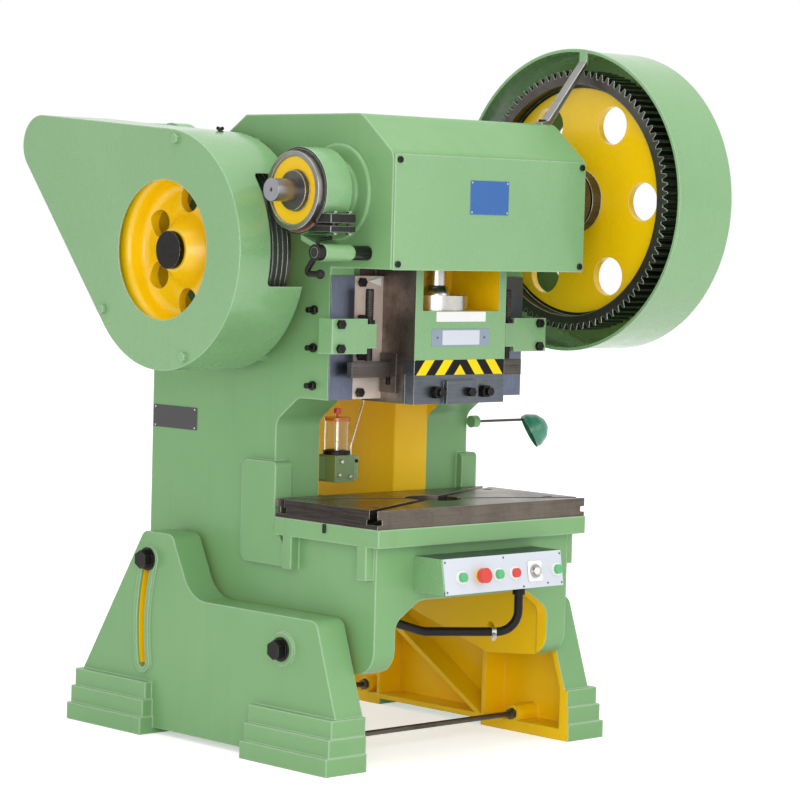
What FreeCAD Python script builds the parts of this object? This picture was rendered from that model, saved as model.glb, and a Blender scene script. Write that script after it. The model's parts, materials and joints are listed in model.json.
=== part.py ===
"""Open-back inclinable stamping press, built piece by piece.

Every size is a named cell of the sheet "Sizes".  X runs to the operator's right, Y to the rear and
Z up.  The origin is on the floor, in the middle of the four foot-bolt holes.  Places along Y are
written from the ram axis, and ram_setback carries them to the origin.
"""
import FreeCAD, Part
import math
import os
import Sketcher

SIZES = {
    # legs
    "leg_outer": (500, "ram plane to a leg's outer skin"),
    "leg_inner": (400, "ram plane to a leg's inner rim"),
    "leg_skin": (16, "thickness of a leg's outer skin"),
    "leg_rim": (16, "thickness of the rim round a leg"),
    "leg_rim_side": (20, "width of the rim on a leg's sloping edges"),
    "leg_toe": (20, "how far a leg's front edge leans over its foot"),
    "leg_heel": (15, "how far a leg's rear edge leans over its foot"),
    "leg_lift": (18, "floor to a leg's lower edge between its feet"),
    "leg_apex_rear": (672, "rear end of a leg's top"),
    "leg_apex_front": (545, "front end of a leg's top"),
    "leg_apex_height": (586, "floor to a leg's top"),
    "leg_saddle_rear": (455, "rear end of the low part of a leg"),
    "leg_saddle_front": (-82, "front end of the low part of a leg"),
    "leg_saddle_height": (408, "floor to the low part of a leg"),
    "leg_corner": (30, "rounding of a leg's top corners"),
    "leg_sweep": (110, "rounding between a leg's top and its low part"),
    "foot_outer": (548, "ram plane to the outside of the lowest foot step"),
    "foot_step_height": (50, "height of one foot step"),
    "foot_steps": (3, "steps on the outside of a foot"),
    "foot_step_inset": (12, "how far each foot step stands back from the one below"),
    "foot_step_end": (4, "how far each foot step is shorter at its free end"),
    "foot_front": (-190, "front end of the front foot"),
    "foot_front_end": (170, "rear end of the front foot"),
    "foot_rear_start": (615, "front end of the rear foot"),
    "foot_rear": (962, "rear end of the rear foot"),
    "anchor_radius": (13, "radius of an anchor bolt hole"),
    "anchor_inset": (58, "anchor hole centre in from the leg's outer skin"),
    "leg_rib": (14, "thickness of a rib inside a leg"),
    "leg_rib_top": (300, "floor to the upper ends of a leg's ribs"),
    "pivot_y": (50, "tilting pivot behind the ram axis"),
    "pivot_height": (316, "floor to the tilting pivot"),
    "pivot_radius": (16, "radius of the pivot bolt"),
    "boss_radius": (48, "radius of the pivot bosses"),
    "boss_rise": (8, "height of the raised rims on a leg's outside"),
    "slot_radius": (622, "pivot to the middle of the tilting slot"),
    "slot_top": (17.8, "angle of the tilting bolt with the press upright"),
    "slot_bottom": (-10.2, "angle of the slot's lower end"),
    "slot_depth": (60, "depth of the tilting slot's walls"),
    "slot_wall": (17, "width of the raised rim beside the slot"),
    "slot_play": (1, "play between tilting bolt and slot"),
    "running_gap": (0.3, "gap between pieces that move past each other"),
    "fit_gap": (0.05, "radial gap of a shaft in its bearing"),
    "tie_radius": (8, "radius of a tie rod"),
    "tie_half": (440, "half the length of a tie rod"),
    "tie_boss": (26, "radius of the bosses that hold the tie rods"),
    "tie_front_y": (37, "front tie rod behind the ram axis"),
    "tie_front_height": (52, "floor to the front tie rod"),
    "tie_rear_y": (680, "rear tie rod behind the ram axis"),
    "tie_rear_height": (55, "floor to the rear tie rod"),
    "tie_nut_radius": (17, "corner radius of a tie rod nut"),
    "tie_nut_thickness": (14, "thickness of a tie rod nut"),
    # frame
    "frame_half": (378, "ram plane to the frame's side"),
    "frame_rear": (795, "ram axis to the frame's rear"),
    "frame_bottom_rear": (450, "floor to the frame's rear lower edge"),
    "frame_bottom_front": (240, "floor to the frame's front lower edge"),
    "frame_chin": (262, "floor to the lower end of the frame's front wall"),
    "frame_knee": (60, "where the frame's lower edge starts to rise"),
    "frame_front": (-185, "ram axis to the front wall under the table"),
    "frame_sweep": (70, "rounding of the frame's lower front corner"),
    "frame_top_rise": (215, "head top above the crankshaft"),
    "frame_rear_top_drop": (35, "head rear upper edge below the crankshaft"),
    "head_slope_start": (400, "where the head's top starts to fall to the rear"),
    "head_front": (-213, "ram axis to the front of the head"),
    "head_shoulder": (-82, "where the head's top starts to fall to the front"),
    "head_front_top_rise": (107, "upper edge of the head front above the crankshaft"),
    "head_front_bottom_drop": (207, "lower edge of the head front below the crankshaft"),
    "cheek_front": (28, "ram axis to the cheeks' front edges"),
    "cheek_bottom_drop": (575, "cheeks lower edges below the crankshaft"),
    "cheek_inner": (290, "ram plane to the inside of a cheek"),
    "throat_upper_y": (150, "rear end of the throat's upper sweep"),
    "throat_rear": (242, "ram axis to the uprights' front edges"),
    "throat_sweep": (40, "rounding of the throat upper corners"),
    "throat_slope": (70, "height of the throat sloping top"),
    "throat_foot": (30, "rounding between uprights and table seat"),
    "upright_inner": (212, "ram plane to the front inner edge of an upright"),
    "passage_half": (150, "half the width of the open back"),
    "passage_start": (315, "ram axis to where the open back has its full depth"),
    "frame_round": (40, "rounding of the head's corners"),
    "wall": (40, "thickness of the frame's front and rear walls"),
    "table_flange": (50, "thickness of the flange that carries the table"),
    "seat_lip": (5, "how far the table flange stands out past the table"),
    "side_wall": (70, "thickness of the frame's lower side walls"),
    "seat_floor": (84, "thickness of the frame's floor under the table"),
    "arch_half": (300, "half the width of the front opening"),
    "arch_shoulder_drop": (214, "table flange to the shoulders of the front opening"),
    "arch_crown_half": (210, "half the width of the front opening's flat top"),
    "arch_crown_drop": (157, "table flange to the top of the front opening"),
    "arch_round": (45, "rounding of the front opening's corners"),
    "drop_hole": (85, "radius of the scrap hole through the frame"),
    "lug_width": (36, "length of a lug under the table flange"),
    "lug_drop": (92, "height of a lug under the table flange"),
    "lug_front": (-158, "ram axis to the front lug"),
    "lug_rear": (150, "ram axis to the rear lug"),
    "pad_rise": (20, "how far the rear side pad stands out"),
    "pad_front": (178, "front end of the side pad under the table"),
    "pad_rear": (362, "rear end of the side pad"),
    "pad_throat": (217, "front end of the side pad beside the throat"),
    "pad_round": (28, "rounding of the side pad"),
    "pad_bend": (30, "table flange to where the side pad's front edge bends"),
    "pad_drop": (88, "table flange to the lower edge of the side pad"),
    "pad_lift": (100, "table top to the upper edge of the side pad"),
    "head_space_top_rise": (165, "top of the space round the crank above the crankshaft"),
    "head_space_front": (-70, "front of the upper part of that space"),
    "head_space_front_top_rise": (85, "top of that space in front above the crankshaft"),
    "head_space_rear": (150, "rear of the space round the crank"),
    "shaft_space_front": (190, "front of the space round the drive shaft"),
    "shaft_space_bottom_drop": (515, "lower end of the space round the drive shaft below the crankshaft"),
    "shaft_space_top_drop": (75, "upper end of that space below the crankshaft"),
    "service_half": (150, "half the width of the rear service opening"),
    "service_bottom_drop": (455, "lower edge of the rear service opening below the crankshaft"),
    "service_top_drop": (265, "upper edge of the rear service opening below the crankshaft"),
    # table
    "table_half": (408, "half the width of the table plate"),
    "table_front": (-219, "ram axis to the table's front edge"),
    "table_rear": (199, "ram axis to the table's rear edge"),
    "table_height": (716, "floor to the table's top"),
    "table_thickness": (52, "thickness of the table plate"),
    "table_bore": (80, "radius of the hole in the table"),
    "slot_neck": (28, "width of a table slot's neck"),
    "slot_foot": (46, "width of a table slot's foot"),
    "slot_neck_depth": (24, "depth of a table slot's neck"),
    "slot_foot_depth": (16, "height of a table slot's foot"),
    "slot_mouth": (191, "ram axis to a table slot's mouth at the table's side"),
    "table_bolt_x": (343, "ram plane to a table bolt"),
    "table_bolt_y": (122, "table's middle line to a table bolt"),
    "table_bolt_head": (15, "radius of a table bolt's head"),
    "table_bolt_shank": (10, "radius of a table bolt's shank"),
    "table_bolt_sink": (24, "depth of a table bolt's counterbore"),
    "bolt_head_height": (14, "height of a table bolt's head"),
    "tapped_x": (170, "ram plane to a tapped hole in the table"),
    "tapped_y": (83, "table's middle line to a tapped hole"),
    "tapped_radius": (7, "radius of a tapped hole in the table"),
    # crank train
    "crank_height": (1575, "floor to the crankshaft"),
    "crank_throw": (40, "half the stroke"),
    "journal": (50, "radius of the crankshaft's journals"),
    "crank_pin": (48, "radius of the crank pin"),
    "pin_half": (52, "half the length of the crank pin"),
    "crank_end": (664, "ram plane to the crankshaft's right end"),
    "crank_cap": (66, "radius of the cap on the crankshaft's right end"),
    "crank_cap_thickness": (14, "thickness of that cap"),
    "web_outer": (100, "ram plane to the outside of a crank web"),
    "web_radius": (92, "radius of a crank web"),
    "web_offset": (16, "crank web's centre above the crankshaft"),
    "bush_outer": (62, "outside radius of a crank bush"),
    "housing_radius": (112, "radius of a crank bearing housing in the frame"),
    "bush_flange": (8, "thickness of a bush's flange"),
    "head_boss": (134, "radius of the round boss on the head's side"),
    "head_boss_rise": (14, "height of that boss"),
    "boss_fillet": (8, "rounding of the bearing housings"),
    "sleeve_radius": (85, "radius of the bearing sleeve beside the brake"),
    "sleeve_end": (424, "ram plane to the end of the left bearing sleeve"),
    "shaft_nose": (31, "radius of the crankshaft's left end"),
    "shaft_nose_end": (627, "ram plane to the crankshaft's left end"),
    "centre_hole": (6, "radius of the centre hole in that end"),
    "centre_depth": (12, "depth of that hole"),
    "clutch_radius": (95, "radius of the clutch sleeve"),
    "clutch_end": (530, "ram plane to the end of the clutch sleeve"),
    "clutch_neck": (70, "radius of the clutch sleeve's neck"),
    # brake
    "drum_radius": (107, "radius of the brake drum"),
    "drum_outer": (551, "ram plane to the brake drum's outer face"),
    "drum_inner": (432, "ram plane to the brake drum's inner face"),
    "drum_rim": (14, "thickness of the brake drum's rim"),
    "drum_recess": (9, "depth of the brake drum recess at its rim"),
    "drum_dish": (6, "how much deeper that recess is at the hub"),
    "drum_hub": (54, "radius of the brake drum's hub"),
    "lining": (6, "thickness of the brake lining"),
    "band": (5, "thickness of the brake band"),
    "band_inset": (21, "band left edge in from the drum outer face"),
    "band_inset_inner": (8, "band right edge in from the drum inner face"),
    "band_gap_middle": (-50.2, "angle of the band's opening from the front"),
    "band_gap_angle": (6.2, "angle that the band leaves open"),
    "lug_upper": (25, "height of the upper lug on the brake band"),
    "lug_lower": (17, "height of the lower lug on the brake band"),
    "lug_gap": (8, "gap between the lugs of the brake band"),
    "lug_gap_drop": (89, "middle of that gap below the crankshaft"),
    "lug_reach": (136, "ram axis to the front of those lugs"),
    "lug_root": (40, "ram axis to the rear of those lugs"),
    "lug_bolt_y": (127, "ram axis to the bolts through those lugs"),
    "lug_bolt": (5, "radius of a bolt through those lugs"),
    "lug_nut": (9, "corner radius of its nut"),
    "lug_nut_height": (7, "height of its nut"),
    "lug_bolt_inset": (18, "bolts in from the ends of those lugs"),
    "brake_pin_y": (-118, "ram axis to the brake lever's stud"),
    "brake_pin_drop": (165, "brake lever stud below the crankshaft"),
    "brake_pin_radius": (15, "radius of the brake lever's stud"),
    "brake_collar": (24, "radius of the green sleeve on the stud"),
    "brake_collar_length": (72, "length of the black boss of the stud"),
    "brake_stud_end": (571, "ram plane to the end of the lever's stud"),
    "brake_arm": (58, "height of the brake lever arm"),
    "brake_arm_width": (48, "how far the brake lever arm leans to the rear"),
    "brake_arm_sheet": (24, "thickness of the brake lever hub"),
    "brake_ball": (13, "radius of the ball on the brake lever"),
    "brake_rod": (8, "radius of the brake lever's arm"),
    "brake_grip": (60, "length of the brake lever's grip"),
    "brake_boss": (20, "radius of the black boss of the stud"),
    "brake_hub": (22, "radius of the brake lever's hub"),
    "brake_finger": (5, "radius of the finger that lifts the band's lug"),
    "brake_finger_rise": (40, "height of that finger's tip over the stud"),
    "brake_finger_in": (48, "how far that finger reaches over the sleeve"),
    "anchor_end": (-16, "ram axis to the rear end of the band's anchor arm"),
    "anchor_sheet": (14, "thickness of that arm"),
    # gears
    "gear_module": (8, "module of the gears"),
    "gear_teeth": (94, "teeth of the bull gear"),
    "pinion_teeth": (16, "teeth of the pinion"),
    "tooth_backlash": (0.5, "play between the gears' teeth"),
    "gear_start": (542, "ram plane to the near face of the bull gear"),
    "gear_width": (96, "width of the bull gear's rim"),
    "gear_rim": (24, "thickness of the rim under the teeth"),
    "gear_web": (22, "thickness of the bull gear's web"),
    "gear_hub": (92, "radius of the bull gear's hub"),
    "gear_hole": (56, "radius of a hole in the bull gear's web"),
    "gear_hole_circle": (255, "radius of the circle of those holes"),
    "gear_holes": (6, "number of those holes"),
    "pressure_angle": (20, "pressure angle of the gears"),
    "root_factor": (1.25, "depth of a tooth below the pitch circle, in modules"),
    "guard_radius": (440, "outside radius of the gear cover"),
    "guard_start": (526, "ram plane to the near rim of the gear cover"),
    "guard_end": (758, "ram plane to the far side of the gear cover"),
    "guard_sheet": (4, "thickness of the gear cover's sheet"),
    "guard_bead": (5, "how far the gear cover's rim stands out"),
    "guard_bead_width": (10, "width of the gear cover's rim"),
    "guard_mouth": (330, "radius of the opening in the far side"),
    "guard_pinion": (96, "radius of the gear cover round the pinion"),
    "strap_width": (30, "width of the gear cover's strap"),
    "strap_sheet": (6, "thickness of the gear cover's strap"),
    "strap_foot": (34, "length of the strap's ends"),
    "strap_y": (-67, "ram axis to the strap's front edge"),
    # drive
    "drive_rise": (172, "drive shaft below the crankshaft"),
    "drive_shaft": (38, "radius of the drive shaft"),
    "drive_end": (640, "ram plane to the drive shaft's right end"),
    "bearing_outer": (60, "outside radius of a drive shaft bearing"),
    "bearing_flange": (80, "radius of a drive shaft bearing's flange"),
    "bearing_flange_thickness": (14, "thickness of that flange"),
    "flywheel_radius": (292, "radius of the flywheel"),
    "flywheel_start": (450, "ram plane to the flywheel's near face"),
    "flywheel_end": (640, "ram plane to the flywheel's far face"),
    "flywheel_rim": (80, "thickness of the flywheel's rim"),
    "flywheel_web": (26, "thickness of the flywheel's web"),
    "flywheel_hub": (60, "radius of the flywheel's hub"),
    "flywheel_web_end": (576, "ram plane to the outer face of the flywheel's web"),
    "flywheel_cone": (104, "radius of the foot of the flywheel's cone"),
    "flywheel_dish": (12, "how much narrower the flywheel's mouth is inside"),
    "flywheel_round": (28, "rounding of the flywheel's mouth"),
    "flywheel_turn": (30, "angle of the first hole in the flywheel"),
    "wheel_nut": (53, "radius of the nut on the drive shaft"),
    "wheel_nut_end": (650, "ram plane to that nut's outer face"),
    "wheel_nut_thickness": (16, "thickness of that nut"),
    "belt_start": (470, "ram plane to the middle of the first belt"),
    "flywheel_hole": (39, "radius of a hole in the flywheel's web"),
    "flywheel_hole_circle": (145, "radius of the circle of those holes"),
    "flywheel_holes": (6, "number of those holes"),
    "belt_count": (4, "number of belts"),
    "belt_pitch": (18, "distance between belts"),
    "belt_width": (13, "width of a belt"),
    "belt_height": (11, "height of a belt"),
    "motor_y": (975, "ram axis to the motor shaft"),
    "motor_rise": (120, "motor shaft above the crankshaft"),
    "pulley_radius": (58, "radius of the motor pulley"),
    "motor_radius": (84, "radius of the motor's body"),
    "motor_start": (420, "ram plane to the motor's flange"),
    "motor_length": (290, "length of the motor's body"),
    "motor_shaft": (19, "radius of the motor shaft"),
    "motor_foot": (98, "motor shaft above its feet"),
    "motor_fins": (18, "number of cooling fins"),
    "motor_fin": (8, "height of a cooling fin"),
    "motor_fin_sheet": (4, "thickness of a cooling fin"),
    "motor_flange": (16, "thickness of the motor's flange"),
    "motor_cowl": (60, "length of the motor's fan cowl"),
    "motor_foot_half": (92, "half the width over the motor's feet"),
    "motor_box": (66, "length of the motor's terminal box"),
    "bracket_plate": (14, "thickness of the motor bracket's plates"),
    "bracket_half": (150, "half the width of the motor bracket"),
    "bracket_centre": (-250, "ram plane to the middle of the motor bracket"),
    "bracket_drop": (220, "height of the motor bracket on the frame"),
    "bracket_reach": (290, "how far the motor bracket reaches behind the frame"),
    "bracket_bolt_inset": (40, "bracket bolts in from the bracket's edges"),
    "bracket_bolt_top": (70, "upper bracket bolts below the shelf"),
    # belt cover
    "cover_outer": (672, "ram plane to the belt cover's face"),
    "cover_inner": (434, "ram plane to the belt cover's open side"),
    "cover_large": (336, "radius of the belt cover's large end"),
    "cover_small": (86, "radius of the belt cover's small end"),
    "cover_sheet": (4, "thickness of the belt cover's sheet"),
    "cover_window": (195, "radius of the window in the belt cover"),
    "cover_notch_top_rise": (45, "top of the notch beside the brake above the crankshaft"),
    "cover_notch_bottom_drop": (263, "bottom of that notch below the crankshaft"),
    "cover_notch_rear": (190, "ram axis to the rear of that notch"),
    "cover_notch_start": (563, "ram plane to the outer edge of that notch"),
    "cover_notch_round": (14, "rounding of that notch"),
    "stud_radius": (13, "radius of a belt cover stud"),
    "stud_end": (8, "radius of a belt cover stud's threaded end"),
    "stud_circle": (312, "drive shaft to the belt cover's studs"),
    "stud_angle_top": (100, "angle of the top stud"),
    "stud_angle_low": (250, "angle of the low stud"),
    "stud_angle_rear": (-34, "angle of the rear stud"),
    # slide
    "slide_half": (178, "half the width of the slide"),
    "slide_front": (-105, "ram axis to the slide's front"),
    "slide_rear": (105, "ram axis to the slide's rear"),
    "slide_bottom_drop": (583, "slide underside below the crankshaft"),
    "slide_top_drop": (175, "slide top below the crankshaft"),
    "way_half": (240, "half the width over the slide's guide flanges"),
    "way_front": (60, "ram axis to the front of the guide flanges"),
    "slide_floor_drop": (323, "bottom of the slide hollow below the crankshaft"),
    "slide_side": (28, "thickness of the slide's side walls"),
    "slide_back": (12, "thickness of the slide's rear wall"),
    "clamp_top_drop": (499, "top of the clamp block below the crankshaft"),
    "clamp_depth": (36, "thickness of the clamp block"),
    "clamp_lug_rise": (14, "how far the clamp block's lug stands out"),
    "clamp_lug_drop": (18, "clamp block's lug below its top"),
    "clamp_nut_rise": (33, "slide underside to the clamp nuts"),
    "clamp_stud": (34, "how far a clamp stud stands out"),
    "clamp_screw_x": (25, "ram plane to the clamp screw"),
    "clamp_screw_head": (14, "corner radius of the clamp screw's head"),
    "clamp_lug_half": (62, "half the width of the clamp block's lug"),
    "shank_radius": (25, "radius of the shank hole"),
    "shank_depth": (44, "depth of the shank hole"),
    "clamp_bolt": (12, "radius of a clamp stud"),
    "clamp_nut": (19, "corner radius of a clamp nut"),
    "clamp_nut_thickness": (18, "thickness of a clamp nut"),
    "clamp_bolt_x": (95, "ram plane to an outer clamp stud"),
    "ball_radius": (42, "radius of the ball on the connecting rod"),
    "ball_drop": (285, "ball below the crankshaft"),
    "ball_play": (3, "room left round the ball"),
    "ball_swing_half": (84, "half the length of the ball's pocket"),
    "ball_pocket_floor_drop": (412, "bottom of the ball pocket below the crankshaft"),
    "screw_radius": (28, "radius of the connecting rod's screw"),
    "screw_thread": (66, "length of screw inside the connecting rod"),
    "lock_nut": (48, "corner radius of the connecting rod's lock nut"),
    "lock_nut_thickness": (26, "thickness of that lock nut"),
    "rod_big_end": (75, "radius of the connecting rod's big end"),
    "rod_half": (46, "half the width of the connecting rod"),
    "rod_neck": (38, "radius of the connecting rod's neck"),
    "rod_bottom_drop": (175, "lower end of the connecting rod below the crankshaft"),
    "ring_outer": (92, "outside radius of the ball's retaining ring"),
    "ring_inner": (84, "inside radius of the ball's retaining ring"),
    "ring_top_drop": (281, "top of the retaining ring below the crankshaft"),
    "bar_drop": (489, "middle of the knock-out bar below the crankshaft"),
    "bar_section": (44, "height of the knock-out bar"),
    "bar_thickness": (20, "thickness of the knock-out bar"),
    "bar_half": (334, "half the length of the knock-out bar"),
    "bar_travel": (20, "travel of the knock-out bar"),
    "bar_play": (1, "play over and under the knock-out bar"),
    "knockout_radius": (9, "radius of the knock-out pin's hole"),
    "bar_plate": (10, "thickness of the plates round the knock-out bar"),
    "bar_plate_rim": (22, "rim of those plates"),
    "bar_y": (-10, "ram axis to the knock-out bar"),
    # gibs
    "gib_bottom_drop": (573, "lower end of a gib below the crankshaft"),
    "gib_top_drop": (230, "upper end of a gib below the crankshaft"),
    "gib_bolts": (4, "bolts in one gib"),
    "gib_bolt_x": (262, "ram plane to the gib bolts"),
    "gib_bolt_head": (14, "corner radius of a gib bolt's head"),
    "gib_bolt_head_height": (11, "height of a gib bolt's head"),
    "gib_bolt_end": (18, "gib end to the first gib bolt"),
    "adjuster_radius": (8, "radius of a gib adjusting screw"),
    "adjuster_head": (13, "corner radius of an adjusting screw's nut"),
    "adjuster_y": (88, "ram axis to the adjusting screws"),
    "adjusters": (3, "adjusting screws on one side"),
    "stop_bottom_drop": (444, "underside of a stop bracket below the crankshaft"),
    "stop_height": (97, "height of a stop bracket"),
    "stop_outer": (421, "ram plane to the outside of a stop bracket"),
    "stop_thickness": (56, "how far a stop bracket stands out"),
    "stop_arm_half": (18, "half the width of a stop bracket's arm"),
    "stop_arm_inset": (15, "stop bracket's arm in from its ends"),
    "stop_bolt_x": (392, "ram plane to the stop bracket's bolts"),
    "stop_clearance": (2.5, "knock-out bar to stop screw"),
    "stop_nut": (17, "corner radius of a stop screw's nut"),
    "stop_screw": (11, "radius of a stop screw"),
    "stop_screw_x": (272, "ram plane to a stop screw"),
    "stop_screw_y": (-18, "ram axis to a stop screw"),
    "stop_screw_length": (200, "length of a stop screw"),
    "pointer_outer": (240, "ram plane to the pointer's base"),
    "pointer_tip": (190, "ram plane to the pointer's tip"),
    "pointer_drop": (245, "pointer below the crankshaft"),
    "pointer_half": (12, "half the width of the pointer's base"),
    # covers on the head
    "lid_sheet": (4, "thickness of the lids on the head"),
    "lid_half": (374, "half the width of the front lid"),
    "lid_screw": (5, "radius of a lid screw"),
    "lid_screw_head": (9, "radius of a lid screw's head"),
    "lid_screw_inset": (16, "lid screw in from the lid's edge"),
    "lid_drop": (1, "how far the front lid is lowered"),
    # control box
    "box_half": (235, "half the width of the control box"),
    "box_front": (-292, "ram axis to the upper front edge of the control box"),
    "box_drop": (130, "table flange to the underside of the control box"),
    "box_height": (98, "height of the control box"),
    "box_lean": (9.3, "angle of the control panel from upright"),
    "box_sheet": (3, "thickness of the control box's sheet"),
    "box_round": (14, "rounding of the control box's lower front edge"),
    "panel_sheet": (3, "thickness of the control panel"),
    "button_height": (46, "panel's lower edge to the buttons"),
    "bezel_rise": (6, "how far a bezel stands out"),
    "button_radius": (13, "radius of a push button"),
    "button_bezel": (19, "radius of a push button's bezel"),
    "button_rise": (16, "how far a push button stands out"),
    "button_depth": (20, "depth of a push button behind the panel"),
    "stop_head": (21, "radius of the emergency stop's head"),
    "stop_head_out": (14, "panel to the emergency stop's head"),
    "key_radius": (12, "radius of the key switch"),
    "key_length": (30, "length of the key"),
    "key_blade": (9, "half the width of the key's grip"),
    "key_sheet": (3, "thickness of the key"),
    "button_1_x": (-170, "ram plane to the left start button"),
    "button_2_x": (-28, "ram plane to the run button"),
    "button_3_x": (38, "ram plane to the stop button"),
    "button_4_x": (206, "ram plane to the right start button"),
    "emergency_x": (-96, "ram plane to the emergency stop"),
    "key_x": (121, "ram plane to the key switch"),
    # conduit
    "conduit_radius": (12.5, "radius of the conduit"),
    "gland_radius": (18, "radius of a conduit gland"),
    "gland_length": (26, "length of a conduit gland"),
    "conduit_x": (118, "ram plane to the conduit's gland"),
    "conduit_fall": (132, "control box to the conduit lowest bend"),
    "conduit_bend": (60, "bend radius of the conduit"),
    "conduit_y": (-95, "ram axis to the conduit behind the front wall"),
    "conduit_left": (-110, "ram plane to the conduit's second bend"),
    "conduit_end_fall": (79, "control box to the far end of the conduit"),
    # lubricator
    "pump_x": (-88, "ram plane to the lubricator"),
    "pump_y": (306, "ram axis to the lubricator"),
    "pump_bottom": (742, "floor to the lubricator's underside"),
    "pump_half": (38, "half the width of the lubricator's body"),
    "pump_body": (78, "height of the lubricator's body"),
    "pump_glass": (36, "radius of the lubricator's glass"),
    "pump_glass_height": (98, "height of the lubricator's glass"),
    "pump_cap": (10, "height of the lubricator's cap"),
    "pump_knob_height": (14, "height of the lubricator's knob"),
    "pump_knob": (11, "radius of the lubricator's knob"),
    "pump_knob_travel": (12, "travel of the lubricator's knob"),
    "pump_stem": (3, "radius of the lubricator knob's stem"),
    "valve_width": (36, "width of the lubricator's valve"),
    "valve_depth": (30, "depth of the lubricator's valve"),
    "valve_drop": (6, "lubricator's body above its valve"),
    "oil_pipe": (3, "radius of the oil pipe"),
    "oil_pipe_run": (46, "how far the oil pipe leans to the side"),
    # lamp
    "lamp_height": (908, "floor to the lamp's arm"),
    "lamp_y": (225, "ram axis to the lamp's arm"),
    "lamp_reach": (600, "ram plane to the end of the lamp arm"),
    "lamp_rod": (4, "radius of the lamp's arm"),
    "lamp_base": (24, "length of the lamp's base"),
    "lamp_base_radius": (18, "radius of the lamp's base"),
    "lamp_shade": (53, "radius of the lamp's shade"),
    "lamp_sheet": (2, "thickness of the lamp's shade"),
    "shade_depth": (58, "depth of the lamp's shade"),
    "shade_neck": (15, "radius of the shade's flat back"),
    "shade_round": (30, "rounding of the shade's back"),
    "mouth_side": (-0.72, "part of the mouth's direction towards the right"),
    "mouth_back": (0.505, "part of the mouth's direction towards the rear"),
    "mouth_rise": (-0.47, "part of the mouth's direction upwards"),
    "shade_side": (30, "lamp arm's end to the middle of the shade's mouth, sideways"),
    "shade_fall": (38.1, "lamp arm's end to the middle of the shade's mouth, downwards"),
    # sockets, nuts and washers
    "washer": (4, "thickness of a large washer"),
    "pivot_nut": (27, "corner radius of the pivot and tilting nuts"),
    "pivot_nut_thickness": (26, "thickness of those nuts"),
    "bolt_grip": (30, "length of thread in the frame"),
}


class Size:
    """A length together with the formula that binds it to the sheet."""

    def __init__(self, value, formula):
        self.value = float(value)
        self.formula = formula

    def _joined(self, sign, other, value):
        return Size(value, f"({self.formula} {sign} {formula(other)})")

    def _led(self, sign, other, value):
        return Size(value, f"({formula(other)} {sign} {self.formula})")

    def __add__(self, other):
        return self._joined("+", other, self.value + number(other))

    def __radd__(self, other):
        return self._led("+", other, number(other) + self.value)

    def __sub__(self, other):
        return self._joined("-", other, self.value - number(other))

    def __rsub__(self, other):
        return self._led("-", other, number(other) - self.value)

    def __mul__(self, other):
        return self._joined("*", other, self.value * number(other))

    def __rmul__(self, other):
        return self._led("*", other, number(other) * self.value)

    def __truediv__(self, other):
        return self._joined("/", other, self.value / number(other))

    def __neg__(self):
        return Size(-self.value, f"(0 - {self.formula})")


def number(size):
    """The plain number of a size."""
    return size.value if isinstance(size, Size) else float(size)


def formula(size):
    """The text that a formula uses for a size."""
    return size.formula if isinstance(size, Size) else repr(float(size))


def root(size):
    return Size(math.sqrt(size.value), f"sqrt({size.formula})")


def cosine(angle):
    """Cosine of an angle in degrees."""
    return Size(math.cos(math.radians(angle.value)), f"cos({angle.formula} * 1 deg)")


def sine(angle):
    """Sine of an angle in degrees."""
    return Size(math.sin(math.radians(angle.value)), f"sin({angle.formula} * 1 deg)")


def make_sheet(document):
    """Write the driving sizes to a sheet and return them by name."""
    sheet = document.addObject("Spreadsheet::Sheet", "Sizes")
    sizes = {}
    for row, (name, (value, meaning)) in enumerate(SIZES.items(), start=1):
        sheet.set(f"A{row}", name)
        sheet.set(f"B{row}", str(value))
        sheet.set(f"C{row}", meaning)
        sheet.setAlias(f"B{row}", name)
        sizes[name] = Size(value, f"Sizes.{name}")
    document.recompute()
    return sizes


class Named:
    """Sizes read as attributes."""

    def __init__(self, values):
        self.__dict__.update(values)


doc = FreeCAD.newDocument("StampingPress")
D = Named(make_sheet(doc))
pieces = []

# Middle of the foot bolts: half way between the middles of the two feet.
D.front_anchor = (D.foot_front + D.foot_front_end) / 2
D.rear_anchor = (D.foot_rear_start + D.foot_rear) / 2
D.ram_setback = (D.front_anchor + D.rear_anchor) / 2
# Meshing gears stand half the sum of their teeth apart, in modules.
D.gear_distance = D.gear_module * (D.gear_teeth + D.pinion_teeth) / 2
# Heights of the head, the slide and the drive are written from the crankshaft.
D.frame_top = D.crank_height + D.frame_top_rise
D.frame_rear_top = D.crank_height - D.frame_rear_top_drop
D.head_front_top = D.crank_height + D.head_front_top_rise
D.head_front_bottom = D.crank_height - D.head_front_bottom_drop
D.cheek_bottom = D.crank_height - D.cheek_bottom_drop
D.head_space_top = D.crank_height + D.head_space_top_rise
D.head_space_front_top = D.crank_height + D.head_space_front_top_rise
D.shaft_space_bottom = D.crank_height - D.shaft_space_bottom_drop
D.shaft_space_top = D.crank_height - D.shaft_space_top_drop
D.service_bottom = D.crank_height - D.service_bottom_drop
D.service_top = D.crank_height - D.service_top_drop
D.motor_height = D.crank_height + D.motor_rise
D.cover_notch_top = D.crank_height + D.cover_notch_top_rise
D.cover_notch_bottom = D.crank_height - D.cover_notch_bottom_drop
D.slide_bottom = D.crank_height - D.slide_bottom_drop
D.slide_top = D.crank_height - D.slide_top_drop
D.slide_floor = D.crank_height - D.slide_floor_drop
D.clamp_top = D.crank_height - D.clamp_top_drop
D.ball_height = D.crank_height - D.ball_drop
D.ball_pocket_floor = D.crank_height - D.ball_pocket_floor_drop
D.rod_bottom = D.crank_height - D.rod_bottom_drop
D.ring_top = D.crank_height - D.ring_top_drop
D.bar_height = D.crank_height - D.bar_drop
D.gib_bottom = D.crank_height - D.gib_bottom_drop
D.gib_top = D.crank_height - D.gib_top_drop
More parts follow.
